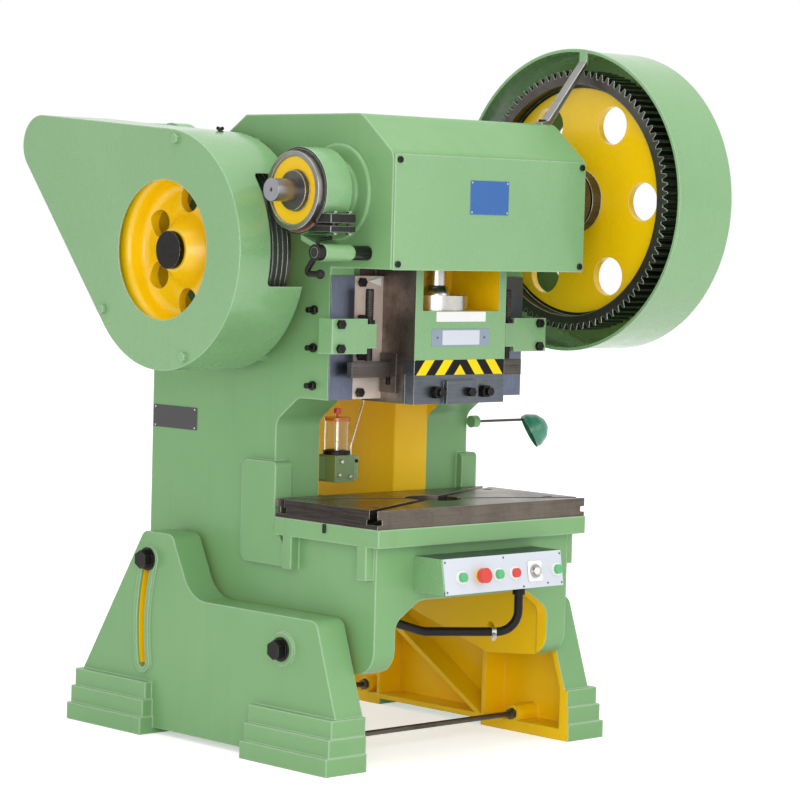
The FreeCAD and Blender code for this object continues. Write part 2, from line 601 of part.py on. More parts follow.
D.stop_bottom = D.crank_height - D.stop_bottom_drop
D.pointer_height = D.crank_height - D.pointer_drop
D.brake_pin_height = D.crank_height - D.brake_pin_drop
# The clamp follows the slide, and the bed follows the table.
D.clamp_nut_height = D.slide_bottom + D.clamp_nut_rise
D.shank_top = D.slide_bottom + D.shank_depth
D.bed_top = D.table_height - D.table_thickness - D.table_flange
D.arch_shoulder = D.bed_top - D.arch_shoulder_drop
D.arch_crown = D.bed_top - D.arch_crown_drop
D.box_bottom = D.bed_top - D.box_drop
D.conduit_low = D.box_bottom - D.conduit_fall
D.conduit_end_height = D.box_bottom - D.conduit_end_fall
D.throat_kink = D.cheek_bottom - D.throat_slope
D.pad_bottom = D.bed_top - D.pad_drop
D.pad_top = D.table_height + D.pad_lift
D.drive_y = root(D.gear_distance * D.gear_distance - D.drive_rise * D.drive_rise)
D.drive_height = D.crank_height - D.drive_rise
D.table_middle = (D.table_front + D.table_rear) / 2
D.seat_top = D.table_height - D.table_thickness

ALONG = {
    "x": FreeCAD.Rotation(FreeCAD.Vector(0, 1, 0), 90),
    "-x": FreeCAD.Rotation(FreeCAD.Vector(0, 1, 0), -90),
    "y": FreeCAD.Rotation(FreeCAD.Vector(1, 0, 0), -90),
    "-y": FreeCAD.Rotation(FreeCAD.Vector(1, 0, 0), 90),
    "z": FreeCAD.Rotation(),
    "-z": FreeCAD.Rotation(FreeCAD.Vector(1, 0, 0), 180),
}
PLANES = {"xy": "XY_Plane", "xz": "XZ_Plane", "yz": "YZ_Plane"}


def bind(feature, **sizes):
    """Give a feature its sizes, as numbers now and as formulas for later."""
    for key, size in sizes.items():
        setattr(feature, key, number(size))
        if isinstance(size, Size):
            feature.setExpression(key, size.formula)
    return feature


def put(feature, x, y, z, along="z", turn=None):
    """Place a feature: x and z from the origin, y from the ram axis."""
    base = (x, y - D.ram_setback, z)
    rotation = turn if turn is not None else ALONG[along]
    feature.Placement = FreeCAD.Placement(FreeCAD.Vector(*[number(v) for v in base]), rotation)
    for letter, size in zip("xyz", base):
        if isinstance(size, Size):
            feature.setExpression(f"Placement.Base.{letter}", size.formula)
    return feature


def block(x, y, z):
    """A box between two sizes on each axis."""
    feature = doc.addObject("Part::Box", "Block")
    bind(feature, Length=x[1] - x[0], Width=y[1] - y[0], Height=z[1] - z[0])
    return put(feature, x[0], y[0], z[0])


def rod(radius, length, x, y, z, along="z"):
    """A cylinder that starts at a point and runs along an axis."""
    feature = doc.addObject("Part::Cylinder", "Rod")
    bind(feature, Radius=radius, Height=length)
    return put(feature, x, y, z, along)


def cone(radius, end_radius, length, x, y, z, along="z"):
    feature = doc.addObject("Part::Cone", "Taper")
    bind(feature, Radius1=radius, Radius2=end_radius, Height=length)
    return put(feature, x, y, z, along)


def ball(radius, x, y, z):
    feature = doc.addObject("Part::Sphere", "Ball")
    bind(feature, Radius=radius)
    return put(feature, x, y, z)


def hexagon(radius, length, x, y, z, along="z"):
    feature = doc.addObject("Part::Prism", "Hexagon")
    feature.Polygon = 6
    bind(feature, Circumradius=radius, Height=length)
    return put(feature, x, y, z, along)


def fuse(*features):
    """Join features that are one solid in the real piece."""
    if len(features) == 1:
        return features[0]
    joined = doc.addObject("Part::MultiFuse", "Joined")
    joined.Shapes = list(features)
    return joined


def group(*features):
    """Keep equal separate pieces together in one node."""
    if len(features) == 1:
        return features[0]
    together = doc.addObject("Part::Compound", "Together")
    together.Links = list(features)
    return together


def cut(base, *tools):
    """Take tools away from a base."""
    feature = doc.addObject("Part::Cut", "Cut")
    feature.Base = base
    feature.Tool = fuse(*tools)
    return feature


def mirrored(source):
    """The same piece on the other side of the ram plane."""
    feature = doc.addObject("Part::Mirroring", "Mirrored")
    feature.Source = source
    feature.Normal = FreeCAD.Vector(1, 0, 0)
    return feature


def piece(name, feature):
    """Name a finished piece; its label names its file."""
    feature.Label = name
    pieces.append(feature)
    return feature


def fix_point(sketch, index, position, across, up):
    """Hold a sketch point at its distances from the sketch's origin."""
    for kind, size in (("DistanceX", across), ("DistanceY", up)):
        held = sketch.addConstraint(Sketcher.Constraint(kind, -1, 1, index, position, number(size)))
        if isinstance(size, Size):
            sketch.setExpression(f"Constraints[{held}]", size.formula)


def add_circle(sketch, across, up, radius):
    """A full circle in a sketch."""
    centre = FreeCAD.Vector(number(across), number(up), 0)
    index = sketch.addGeometry(Part.Circle(centre, FreeCAD.Vector(0, 0, 1), number(radius)), False)
    fix_point(sketch, index, 3, across, up)
    held = sketch.addConstraint(Sketcher.Constraint("Radius", index, number(radius)))
    if isinstance(radius, Size):
        sketch.setExpression(f"Constraints[{held}]", radius.formula)


def add_outline(sketch, corners):
    """A closed outline; a corner is (across, up) or (across, up, rounding)."""
    points = [FreeCAD.Vector(number(corner[0]), number(corner[1]), 0) for corner in corners]
    count = len(points)
    starts, ends, arcs = list(points), list(points), {}
    for here, corner in enumerate(corners):
        if len(corner) < 3:
            continue
        before = (points[here - 1] - points[here]).normalize()
        after = (points[(here + 1) % count] - points[here]).normalize()
        half = before.getAngle(after) / 2
        radius = number(corner[2])
        ends[here] = points[here] + before * (radius / math.tan(half))
        starts[here] = points[here] + after * (radius / math.tan(half))
        centre = points[here] + (before + after).normalize() * (radius / math.sin(half))
        arcs[here] = (centre, radius, before.cross(after).z < 0)
    lines = []
    for here in range(count):
        line = Part.LineSegment(starts[here], ends[(here + 1) % count])
        lines.append(sketch.addGeometry(line, False))
    for here, corner in enumerate(corners):
        line_in, line_out = lines[here - 1], lines[here]
        if here not in arcs:
            sketch.addConstraint(Sketcher.Constraint("Coincident", line_in, 2, line_out, 1))
            fix_point(sketch, line_out, 1, corner[0], corner[1])
            continue
        centre, radius, left_turn = arcs[here]
        first, last = (ends[here], starts[here]) if left_turn else (starts[here], ends[here])
        circle = Part.Circle(centre, FreeCAD.Vector(0, 0, 1), radius)
        arc = Part.ArcOfCircle(circle, circle.parameter(first), circle.parameter(last))
        arc_index = sketch.addGeometry(arc, False)
        in_end, out_end = (1, 2) if left_turn else (2, 1)
        sketch.addConstraint(Sketcher.Constraint("Tangent", line_in, 2, arc_index, in_end))
        sketch.addConstraint(Sketcher.Constraint("Tangent", line_out, 1, arc_index, out_end))
        tip = sketch.addGeometry(Part.Point(points[here]), True)
        fix_point(sketch, tip, 1, corner[0], corner[1])
        sketch.addConstraint(Sketcher.Constraint("PointOnObject", tip, 1, line_in))
        sketch.addConstraint(Sketcher.Constraint("PointOnObject", tip, 1, line_out))
        held = sketch.addConstraint(Sketcher.Constraint("Radius", arc_index, radius))
        if isinstance(corner[2], Size):
            sketch.setExpression(f"Constraints[{held}]", corner[2].formula)


def body_sketch(body, plane):
    """An empty sketch on one of a body's own origin planes."""
    sketch = body.newObject("Sketcher::SketchObject", "Outline")
    for face in body.Origin.OriginFeatures:
        if face.Role == PLANES[plane]:
            sketch.AttachmentSupport = [(face, "")]
    sketch.MapMode = "FlatFace"
    return sketch


def plate(plane, corners, start, thickness, holes=()):
    """A body padded from an outline; start and thickness are along the plane's normal axis."""
    body = doc.addObject("PartDesign::Body", "Plate")
    sketch = body_sketch(body, plane)
    if plane == "yz":
        corners = [(c[0] - D.ram_setback,) + tuple(c[1:]) for c in corners]
        holes = [(h[0] - D.ram_setback,) + tuple(h[1:]) for h in holes]
    if plane == "xy":
        corners = [(c[0], c[1] - D.ram_setback) + tuple(c[2:]) for c in corners]
        holes = [(h[0], h[1] - D.ram_setback) + tuple(h[2:]) for h in holes]
    add_outline(sketch, corners)
    for hole in holes:
        add_circle(sketch, *hole)
    pad = body.newObject("PartDesign::Pad", "Pad")
    pad.Profile = sketch
    bind(pad, Length=thickness)
    pad.Reversed = plane == "xz"
    sketch.Visibility = False
    letter = {"yz": "x", "xz": "y", "xy": "z"}[plane]
    offset = start - D.ram_setback if plane == "xz" else start
    base = {"x": 0.0, "y": 0.0, "z": 0.0, letter: number(offset)}
    body.Placement.Base = FreeCAD.Vector(base["x"], base["y"], base["z"])
    if isinstance(offset, Size):
        body.setExpression(f"Placement.Base.{letter}", offset.formula)
    return body


def turned(stations, x, y, z, along="z", turn=None):
    """A body turned about its own axis; a station is (radius, distance along the axis)."""
    body = doc.addObject("PartDesign::Body", "Turned")
    sketch = body_sketch(body, "xz")
    add_outline(sketch, stations)
    spin = body.newObject("PartDesign::Revolution", "Spin")
    spin.Profile = sketch
    spin.ReferenceAxis = (sketch, ["V_Axis"])
    spin.Angle = 360
    sketch.Visibility = False
    return put(body, x, y, z, along, turn)


def around(count, radius, start_angle=0.0):
    """Places spread evenly round a circle, as pairs across and up."""
    places = []
    for index in range(int(number(count))):
        angle = math.radians(start_angle + 360.0 * index / number(count))
        places.append((radius * math.cos(angle), radius * math.sin(angle)))
    return places


def spread(first, last, count):
    """Evenly spread places from first to last."""
    steps = int(number(count)) - 1
    return [first + (last - first) * (index / steps) for index in range(steps + 1)]


def teardrop(large, small, start, length):
    """Two round ends about the drive shaft and the motor shaft, joined by straight sides."""
    run_y = D.motor_y - D.drive_y
    run_z = D.motor_height - D.drive_height
    distance = root(run_y * run_y + run_z * run_z)
    lean = (large - small) / distance
    rest = root(1.0 - lean * lean)
    corners = []
    for side, turn_way in ((1, 1), (1, -1), (-1, -1), (-1, 1)):
        radius = large if turn_way == 1 else small
        centre_y = D.drive_y if turn_way == 1 else D.motor_y
        centre_z = D.drive_height if turn_way == 1 else D.motor_height
        out_y = (run_y * lean - run_z * rest * side) / distance
        out_z = (run_z * lean + run_y * rest * side) / distance
        corners.append((centre_y + out_y * radius, centre_z + out_z * radius))
    return fuse(
        rod(large, length, start, D.drive_y, D.drive_height, "x"),
        rod(small, length, start, D.motor_y, D.motor_height, "x"),
        plate("yz", corners, start, length),
    )


def bent_pipe(radius, corners):
    """A round pipe along straight runs joined by tangent arcs; a corner is (x, y, z, bend radius)."""
    points = [FreeCAD.Vector(number(c[0]), number(c[1] - D.ram_setback), number(c[2])) for c in corners]
    edges = []
    start = points[0]
    for index in range(1, len(points) - 1):
        before = (points[index - 1] - points[index]).normalize()
        after = (points[index + 1] - points[index]).normalize()
        half = before.getAngle(after) / 2
        bend = number(corners[index][3])
        arc_in = points[index] + before * (bend / math.tan(half))
        arc_out = points[index] + after * (bend / math.tan(half))
        centre = points[index] + (before + after).normalize() * (bend / math.sin(half))
        arc_middle = centre + (points[index] - centre).normalize() * bend
        edges.append(Part.makeLine(start, arc_in))
        edges.append(Part.Arc(arc_in, arc_middle, arc_out).toShape())
        start = arc_out
    edges.append(Part.makeLine(start, points[-1]))
    path = Part.Wire(edges)
    disc = Part.Wire(Part.makeCircle(number(radius), points[0], points[1] - points[0]))
    feature = doc.addObject("Part::Feature", "Pipe")
    feature.Shape = path.makePipeShell([disc], True, True)
    return feature


# ------------------------------------------------------------------ legs
D.foot_top = D.foot_step_height * D.foot_steps
D.leg_thickness = D.leg_outer - D.leg_inner
D.leg_floor = D.leg_lift + D.leg_rim
D.slot_half = D.pivot_radius + D.slot_play


def slot_shape(half_width, start, length):
    """The tilting slot's curved shape at a half width."""
    sweep = rod(D.slot_radius + half_width, length, start, D.pivot_y, D.pivot_height, "x")
    bind(sweep, Angle=D.slot_top - D.slot_bottom)
    roll = FreeCAD.Rotation(FreeCAD.Vector(0, 0, 1), 90 + D.slot_bottom.value)
    sweep.Placement.Rotation = ALONG["x"] * roll
    inside = rod(D.slot_radius - half_width, length, start, D.pivot_y, D.pivot_height, "x")
    ends = []
    for angle in (D.slot_bottom, D.slot_top):
        end_y = D.pivot_y + D.slot_radius * cosine(angle)
        end_z = D.pivot_height + D.slot_radius * sine(angle)
        ends.append(rod(half_width, length, start, end_y, end_z, "x"))
    return fuse(cut(sweep, inside), *ends)


def make_leg():
    """One cast leg: skin and rim, stepped feet, ribs, pivot boss and tilting slot."""
    skin_inside = -D.leg_outer + D.leg_skin
    blank = plate("yz", [
        (D.foot_front, 0.0),
        (D.foot_front_end, 0.0),
        (D.foot_front_end, D.leg_lift),
        (D.foot_rear_start, D.leg_lift),
        (D.foot_rear_start, 0.0),
        (D.foot_rear, 0.0),
        (D.foot_rear - D.leg_heel, D.foot_top),
        (D.leg_apex_rear, D.leg_apex_height, D.leg_corner),
        (D.leg_apex_front, D.leg_apex_height, D.leg_corner),
        (D.leg_saddle_rear, D.leg_saddle_height, D.leg_sweep),
        (D.leg_saddle_front, D.leg_saddle_height, D.leg_corner),
        (D.foot_front + D.leg_toe, D.foot_top),
    ], -D.leg_outer, D.leg_thickness)
    steps = []
    for start, end in ((D.foot_front, D.foot_front_end), (D.foot_rear_start, D.foot_rear)):
        for level in range(int(D.foot_steps.value)):
            outer = D.foot_outer - D.foot_step_inset * level
            inset = D.foot_step_end * level
            low = D.foot_step_height * level
            high = D.foot_step_height * (level + 1)
            steps.append(block((-outer, -D.leg_inner), (start + inset, end - inset), (low, high)))
    pocket = plate("yz", [
        (D.foot_front + D.leg_rim_side * 2, D.leg_floor),
        (D.foot_rear - D.leg_rim_side * 2, D.leg_floor),
        (D.foot_rear - D.leg_heel - D.leg_rim_side, D.foot_top),
        (D.leg_apex_rear - D.leg_rim, D.leg_apex_height - D.leg_rim),
        (D.leg_apex_front + D.leg_rim_side, D.leg_apex_height - D.leg_rim),
        (D.leg_saddle_rear + D.leg_rim, D.leg_saddle_height - D.leg_rim, D.leg_sweep),
        (D.leg_saddle_front + D.leg_rim, D.leg_saddle_height - D.leg_rim),
        (D.foot_front + D.leg_toe + D.leg_rim_side, D.foot_top),
    ], skin_inside, D.leg_thickness)
    shell = cut(fuse(blank, *steps), pocket)
    rib_depth = D.leg_thickness - D.leg_skin
    ribs = [
        block((skin_inside, -D.leg_inner), (edge, edge + D.leg_rib), (D.leg_lift, D.leg_rib_top))
        for edge in (D.foot_front_end - D.leg_rib, D.foot_rear_start)
    ]
    ribs.append(plate("yz", [
        (D.foot_front_end, D.leg_floor),
        (D.foot_front_end + D.leg_rib * 2, D.leg_floor),
        (D.foot_rear_start + D.leg_rib / 2, D.leg_rib_top - D.leg_rib),
        (D.foot_rear_start - D.leg_rib * 2, D.leg_rib_top - D.leg_rib),
    ], skin_inside, rib_depth))
    raised = D.leg_outer + D.boss_rise
    bosses = [
        rod(D.boss_radius, raised - D.frame_half - D.running_gap, -raised,
            D.pivot_y, D.pivot_height, "x"),
        slot_shape(D.slot_half + D.slot_wall, -raised, D.slot_depth),
        rod(D.tie_boss, rib_depth, skin_inside, D.tie_front_y, D.tie_front_height, "x"),
        rod(D.tie_boss, rib_depth, skin_inside, D.tie_rear_y, D.tie_rear_height, "x"),
    ]
    anchor_x = -D.leg_outer + D.anchor_inset
    holes = [
        rod(D.pivot_radius + D.fit_gap, D.foot_outer, -D.foot_outer, D.pivot_y, D.pivot_height, "x"),
        slot_shape(D.slot_half, -D.foot_outer, D.leg_outer),
        rod(D.tie_radius + D.fit_gap, rib_depth, -D.tie_half, D.tie_front_y, D.tie_front_height, "x"),
        rod(D.tie_radius + D.fit_gap, rib_depth, -D.tie_half, D.tie_rear_y, D.tie_rear_height, "x"),
        rod(D.anchor_radius, D.foot_top, anchor_x, D.front_anchor, -D.leg_lift),
        rod(D.anchor_radius, D.foot_top, anchor_x, D.rear_anchor, -D.leg_lift),
    ]
    return cut(fuse(shell, *ribs, *bosses), *holes)


leg = make_leg()
piece("left_leg", leg)
piece("right_leg", mirrored(leg))
tie_places = ((D.tie_front_y, D.tie_front_height), (D.tie_rear_y, D.tie_rear_height))
tie_rods = []
for tie_y, tie_z in tie_places:
    tie_rods.append(fuse(
        rod(D.tie_radius, D.tie_half * 2, -D.tie_half, tie_y, tie_z, "x"),
        hexagon(D.tie_nut_radius, D.tie_nut_thickness, -D.leg_inner, tie_y, tie_z, "x"),
        hexagon(D.tie_nut_radius, D.tie_nut_thickness, D.leg_inner, tie_y, tie_z, "-x")))
piece("tie_rods", group(*tie_rods))

# ------------------------------------------------------------------ frame
frame_blank = plate("yz", [
    (D.frame_front, D.frame_chin, D.frame_sweep),
    (D.frame_knee, D.frame_bottom_front),
    (D.frame_rear, D.frame_bottom_rear),
    (D.frame_rear, D.frame_rear_top, D.frame_round),
    (D.head_slope_start, D.frame_top),
    (D.head_shoulder, D.frame_top, D.frame_round),
    (D.head_front, D.head_front_top, D.frame_round),
    (D.head_front, D.head_front_bottom),
    (D.cheek_front, D.head_front_bottom),
    (D.cheek_front, D.cheek_bottom),
    (D.throat_upper_y, D.cheek_bottom, D.throat_sweep),
    (D.throat_rear, D.throat_kink, D.throat_sweep),
    (D.throat_rear, D.seat_top, D.throat_foot),
    (D.frame_front, D.seat_top),
], -D.frame_half, D.frame_half * 2)
seat = block((-D.table_half, D.table_half), (D.table_front - D.seat_lip, D.table_rear + D.seat_lip),
             (D.bed_top, D.seat_top))
lugs = []
for side in (-1.0, 1.0):
    for middle in (D.lug_front, D.lug_rear):
        inner, outer = D.frame_half * side, D.table_half * side
        lugs.append(block((inner, outer) if side > 0 else (outer, inner),
                          (middle - D.lug_width / 2, middle + D.lug_width / 2),
                          (D.bed_top - D.lug_drop, D.bed_top)))
pad_corners = [
    (D.pad_front, D.pad_bottom),
    (D.pad_rear, D.pad_bottom, D.pad_round),
    (D.pad_rear, D.pad_top, D.pad_round),
    (D.pad_throat, D.pad_top, D.pad_round / 2),
    (D.pad_throat, D.bed_top + D.pad_bend, D.pad_round),
    (D.pad_front, D.bed_top - D.pad_bend),
]
pad = plate("yz", pad_corners, D.frame_half - D.wall, D.wall + D.pad_rise)
pads = [pad, mirrored(pad)]
tilt_y = D.pivot_y + D.slot_radius * cosine(D.slot_top)
tilt_z = D.pivot_height + D.slot_radius * sine(D.slot_top)
beyond = D.frame_half
lower_half = D.frame_half - D.side_wall
hollows = [
    block((-lower_half, lower_half), (D.frame_front + D.wall, D.frame_rear + beyond),
          (0.0, D.seat_top - D.seat_floor)),
    plate("xy", [
        (-D.upright_inner, D.cheek_front),
        (D.upright_inner, D.cheek_front),
        (D.upright_inner, D.throat_rear),
        (D.passage_half, D.passage_start),
        (D.passage_half, D.frame_rear + beyond),
        (-D.passage_half, D.frame_rear + beyond),
        (-D.passage_half, D.passage_start),
        (-D.upright_inner, D.throat_rear),
    ], D.seat_top, D.cheek_bottom - D.seat_top),
    block((-D.cheek_inner, D.cheek_inner), (D.head_front - beyond, D.cheek_front),
          (D.head_front_bottom - D.wall, D.head_space_front_top)),
    block((-D.cheek_inner, D.cheek_inner), (D.cheek_front, D.way_front),
          (D.cheek_bottom - D.wall, D.head_front_bottom)),
    block((-D.way_half - D.fit_gap, D.way_half + D.fit_gap), (D.cheek_front, D.slide_rear + D.fit_gap),
          (D.cheek_bottom - D.wall, D.head_front_bottom)),
    block((-D.cheek_inner, D.cheek_inner), (D.head_space_front, D.head_space_rear),
          (D.head_front_bottom, D.head_space_top)),
    block((-D.cheek_inner, D.cheek_inner), (D.shaft_space_front, D.frame_rear - D.wall),
          (D.shaft_space_bottom, D.shaft_space_top)),
    block((-D.service_half, D.service_half), (D.shaft_space_front + D.wall, D.frame_rear + beyond),
          (D.service_bottom, D.service_top)),
    plate("xz", [
        (-D.arch_half, 0.0), (D.arch_half, 0.0),
        (D.arch_half, D.arch_shoulder, D.arch_round), (D.arch_crown_half, D.arch_crown, D.arch_round),
        (-D.arch_crown_half, D.arch_crown, D.arch_round), (-D.arch_half, D.arch_shoulder, D.arch_round),
    ], D.frame_front - D.wall, D.wall * 3),
    rod(D.drop_hole, D.table_height, 0.0, D.table_middle, D.frame_chin),
    rod(D.housing_radius + D.running_gap, D.frame_half * 2, -D.frame_half, 0.0, D.crank_height, "x"),
    rod(D.bearing_outer + D.running_gap, D.frame_half * 2, -D.frame_half, D.drive_y, D.drive_height, "x"),
    rod(D.pivot_radius + D.fit_gap, D.frame_half * 2, -D.frame_half, D.pivot_y, D.pivot_height, "x"),
    rod(D.pivot_radius + D.fit_gap, D.frame_half * 2, -D.frame_half, tilt_y, tilt_z, "x"),
]
frame = cut(fuse(frame_blank, seat, *lugs, *pads), *hollows)

drillings = []
for side in (-1, 1):
    for offset in (-1, 1):
        drillings.append(rod(D.table_bolt_shank + D.running_gap, D.seat_top, D.table_bolt_x * side,
                             D.table_middle + D.table_bolt_y * offset, D.seat_top - D.bolt_grip))
frame = cut(frame, *drillings)
piece("press_frame", frame)

# ------------------------------------------------------------------ table
diagonal = root(D.table_half * D.table_half + D.slot_mouth * D.slot_mouth)


def table_slot(way, width, bottom, height):
    """A straight slot that crosses the table from corner side to corner side."""
    along_x, along_y = D.table_half / diagonal, D.slot_mouth * way / diagonal
    reach = diagonal + D.wall
    corners = []
    for end, edge in ((-1, -1), (1, -1), (1, 1), (-1, 1)):
        corners.append((along_x * reach * end - along_y * width * edge / 2,
                        D.table_middle + along_y * reach * end + along_x * width * edge / 2))
    return plate("xy", corners, bottom, height)


table = block((-D.table_half, D.table_half), (D.table_front, D.table_rear), (D.seat_top, D.table_height))
slot_foot_top = D.table_height - D.slot_neck_depth
table_cuts = [rod(D.table_bore, D.table_height, 0.0, D.table_middle, D.bed_top)]
for way in (-1, 1):
    table_cuts.append(table_slot(way, D.slot_neck, slot_foot_top, D.table_thickness))
    table_cuts.append(table_slot(way, D.slot_foot, slot_foot_top - D.slot_foot_depth, D.slot_foot_depth))
table_bolts = []
for side in (-1, 1):
    for offset in (-1, 1):
        bolt_y = D.table_middle + D.table_bolt_y * offset
        sink = D.table_height - D.table_bolt_sink
        table_cuts.append(rod(D.table_bolt_head + D.running_gap, D.table_bolt_sink,
                              D.table_bolt_x * side, bolt_y, sink))
        table_cuts.append(rod(D.table_bolt_shank + D.running_gap, D.table_thickness,
                              D.table_bolt_x * side, bolt_y, D.seat_top))
        table_cuts.append(rod(D.tapped_radius, D.table_thickness, D.tapped_x * side,
                              D.table_middle + D.tapped_y * offset, D.seat_top + D.slot_foot_depth))
        table_bolts.append(fuse(
            rod(D.table_bolt_head, D.bolt_head_height, D.table_bolt_x * side, bolt_y, sink),
            rod(D.table_bolt_shank, D.table_thickness, D.table_bolt_x * side, bolt_y,
                sink - D.table_thickness)))
piece("bolster_plate", cut(table, *table_cuts))
piece("bolster_bolts", group(*table_bolts))

# ------------------------------------------------------------------ pivot and tilting bolts
hinge_bolts = []
for side in (-1, 1):
    for y, z in ((D.pivot_y, D.pivot_height), (tilt_y, tilt_z)):
        face = D.leg_outer + D.boss_rise + D.running_gap
        length = face - D.frame_half + D.bolt_grip
        direction = "x" if side < 0 else "-x"
        outward = "-x" if side < 0 else "x"
        hinge_bolts.append(fuse(
            rod(D.pivot_radius, length, face * side, y, z, direction),
            rod(D.slot_half + D.slot_wall, D.washer, face * side, y, z, outward),
            hexagon(D.pivot_nut, D.pivot_nut_thickness, (face + D.washer) * side, y, z, outward)))
piece("hinge_bolts", group(*hinge_bolts))

# ------------------------------------------------------------------ head lid and guide ways
lid_low = D.head_front_bottom - D.lid_drop
lid = block((-D.lid_half, D.lid_half), (D.head_front - D.lid_sheet, D.head_front),
            (lid_low, D.head_front_top - D.lid_drop))
lid_screws = []
for side in (-1, 1):
    for z in (lid_low + D.lid_screw_inset, D.head_front_top - D.lid_drop - D.lid_screw_inset):
        lid_screws.append(rod(D.lid_screw_head, D.lid_screw, (D.lid_half - D.lid_screw_inset) * side,
                              D.head_front - D.lid_sheet, z, "-y"))
piece("front_cover", lid)
piece("front_cover_screws", group(*lid_screws))

face_plates = []
gibs = []
hex_bolts = []
adjusters = []
brackets = []
stop_screws = []
gib_front = D.cheek_front


def span(side, near, far):
    """A span across X on one side, from the ram plane outward."""
    return (near, far) if side > 0 else (-far, -near)


for side in (-1, 1):
    face_plates.append(block(span(side, D.cheek_inner, D.frame_half), (gib_front - D.lid_sheet, gib_front),
                             (D.cheek_bottom, D.gib_top)))
    gibs.append(block(span(side, D.slide_half + D.running_gap, D.cheek_inner - D.running_gap),
                      (gib_front, D.way_front), (D.gib_bottom, D.gib_top)))
    for z in spread(D.gib_bottom + D.gib_bolt_end, D.gib_top - D.gib_bolt_end, D.gib_bolts):
        hex_bolts.append(hexagon(D.gib_bolt_head, D.gib_bolt_head_height, D.gib_bolt_x * side,
                                 gib_front, z, "-y"))
    outward = "-x" if side < 0 else "x"
    for z in spread(D.gib_bottom + D.gib_bolt_end * 2, D.gib_top - D.stop_height, D.adjusters):
        adjusters.append(fuse(
            hexagon(D.adjuster_head, D.gib_bolt_head_height, D.frame_half * side, D.adjuster_y, z, outward),
            rod(D.adjuster_radius, D.bolt_grip, D.frame_half * side, D.adjuster_y, z, outward)))
    plate_front = gib_front - D.lid_sheet
    plate_block = block(span(side, D.cheek_inner, D.stop_outer), (plate_front - D.stop_thickness, plate_front),
                        (D.stop_bottom, D.stop_bottom + D.stop_height))
    arm = block(span(side, D.stop_screw_x - D.stop_arm_half, D.cheek_inner),
                (plate_front - D.stop_thickness, plate_front - D.bolt_grip / 2),
                (D.stop_bottom + D.stop_arm_inset, D.stop_bottom + D.stop_height - D.stop_arm_inset))
    screw_hole = rod(D.stop_screw + D.running_gap, D.stop_height, D.stop_screw_x * side,
                     D.stop_screw_y, D.stop_bottom)
    brackets.append(cut(fuse(plate_block, arm), screw_hole))
    for z in (D.stop_bottom + D.stop_arm_inset, D.stop_bottom + D.stop_height - D.stop_arm_inset):
        hex_bolts.append(hexagon(D.gib_bolt_head, D.gib_bolt_head_height, D.stop_bolt_x * side,
                                 plate_front - D.stop_thickness, z, "-y"))
    stop_low = D.bar_height + D.bar_section / 2 + D.stop_clearance
    nut_low = D.stop_bottom + D.stop_height - D.stop_arm_inset
    stop_screws.append(fuse(
        rod(D.stop_screw, D.stop_screw_length, D.stop_screw_x * side, D.stop_screw_y, stop_low),
        hexagon(D.stop_nut, D.gib_bolt_head_height, D.stop_screw_x * side, D.stop_screw_y, nut_low)))
piece("guide_face_plates", group(*face_plates))
piece("gib_plates", group(*gibs))
piece("gib_adjusting_screws", group(*adjusters))
piece("stop_brackets", group(*brackets))
piece("stop_screws", group(*stop_screws))
piece("slide_pointer", plate("xz", [
    (-D.pointer_outer, D.pointer_height - D.pointer_half),
    (-D.pointer_tip, D.pointer_height),
    (-D.pointer_outer, D.pointer_height + D.pointer_half),
], gib_front - D.lid_sheet, D.lid_sheet))

# ------------------------------------------------------------------ crank train
housings = []
bushes = []
for side in (-1, 1):
    outward = "-x" if side < 0 else "x"
    inner_x = D.cheek_inner * side
    wall_run = D.frame_half - D.cheek_inner
    flange_end = wall_run + D.head_boss_rise
    nose = D.sleeve_end - D.cheek_inner
    housings.append(turned([
        (D.bush_outer + D.running_gap, 0.0),
        (D.housing_radius, 0.0),
        (D.housing_radius, wall_run),
        (D.head_boss, wall_run),
        (D.head_boss, flange_end, D.boss_fillet),
        (D.sleeve_radius, flange_end, D.boss_fillet),
        (D.sleeve_radius, nose),
        (D.bush_outer + D.running_gap, nose),
    ], inner_x, 0.0, D.crank_height, outward))
    bushes.append(turned([
        (D.journal + D.fit_gap, -D.bush_flange),
        (D.bush_outer + D.bush_flange, -D.bush_flange),
        (D.bush_outer + D.bush_flange, 0.0),
        (D.bush_outer, 0.0),
        (D.bush_outer, nose),
        (D.journal + D.fit_gap, nose),
    ], inner_x, 0.0, D.crank_height, outward))
piece("crank_housings", group(*housings))
piece("crank_bushes", group(*bushes))

pin_height = D.crank_height + D.crank_throw
web_run = D.web_outer - D.pin_half
piece("crankshaft", cut(fuse(
    rod(D.shaft_nose, D.shaft_nose_end - D.web_outer, -D.shaft_nose_end, 0.0, D.crank_height, "x"),
    rod(D.journal, D.sleeve_end - D.web_outer, -D.sleeve_end, 0.0, D.crank_height, "x"),
    rod(D.web_radius, web_run, -D.web_outer, 0.0, D.crank_height + D.web_offset, "x"),
    rod(D.crank_pin, D.pin_half * 2, -D.pin_half, 0.0, pin_height, "x"),
    rod(D.web_radius, web_run, D.pin_half, 0.0, D.crank_height + D.web_offset, "x"),
    rod(D.journal, D.crank_end - D.web_outer, D.web_outer, 0.0, D.crank_height, "x"),
    rod(D.crank_cap, D.crank_cap_thickness, D.crank_end, 0.0, D.crank_height, "x"),
), cone(D.centre_hole, D.centre_hole / 3, D.centre_depth, -D.shaft_nose_end, 0.0, D.crank_height, "x")))
drum_run = D.drum_outer - D.drum_inner
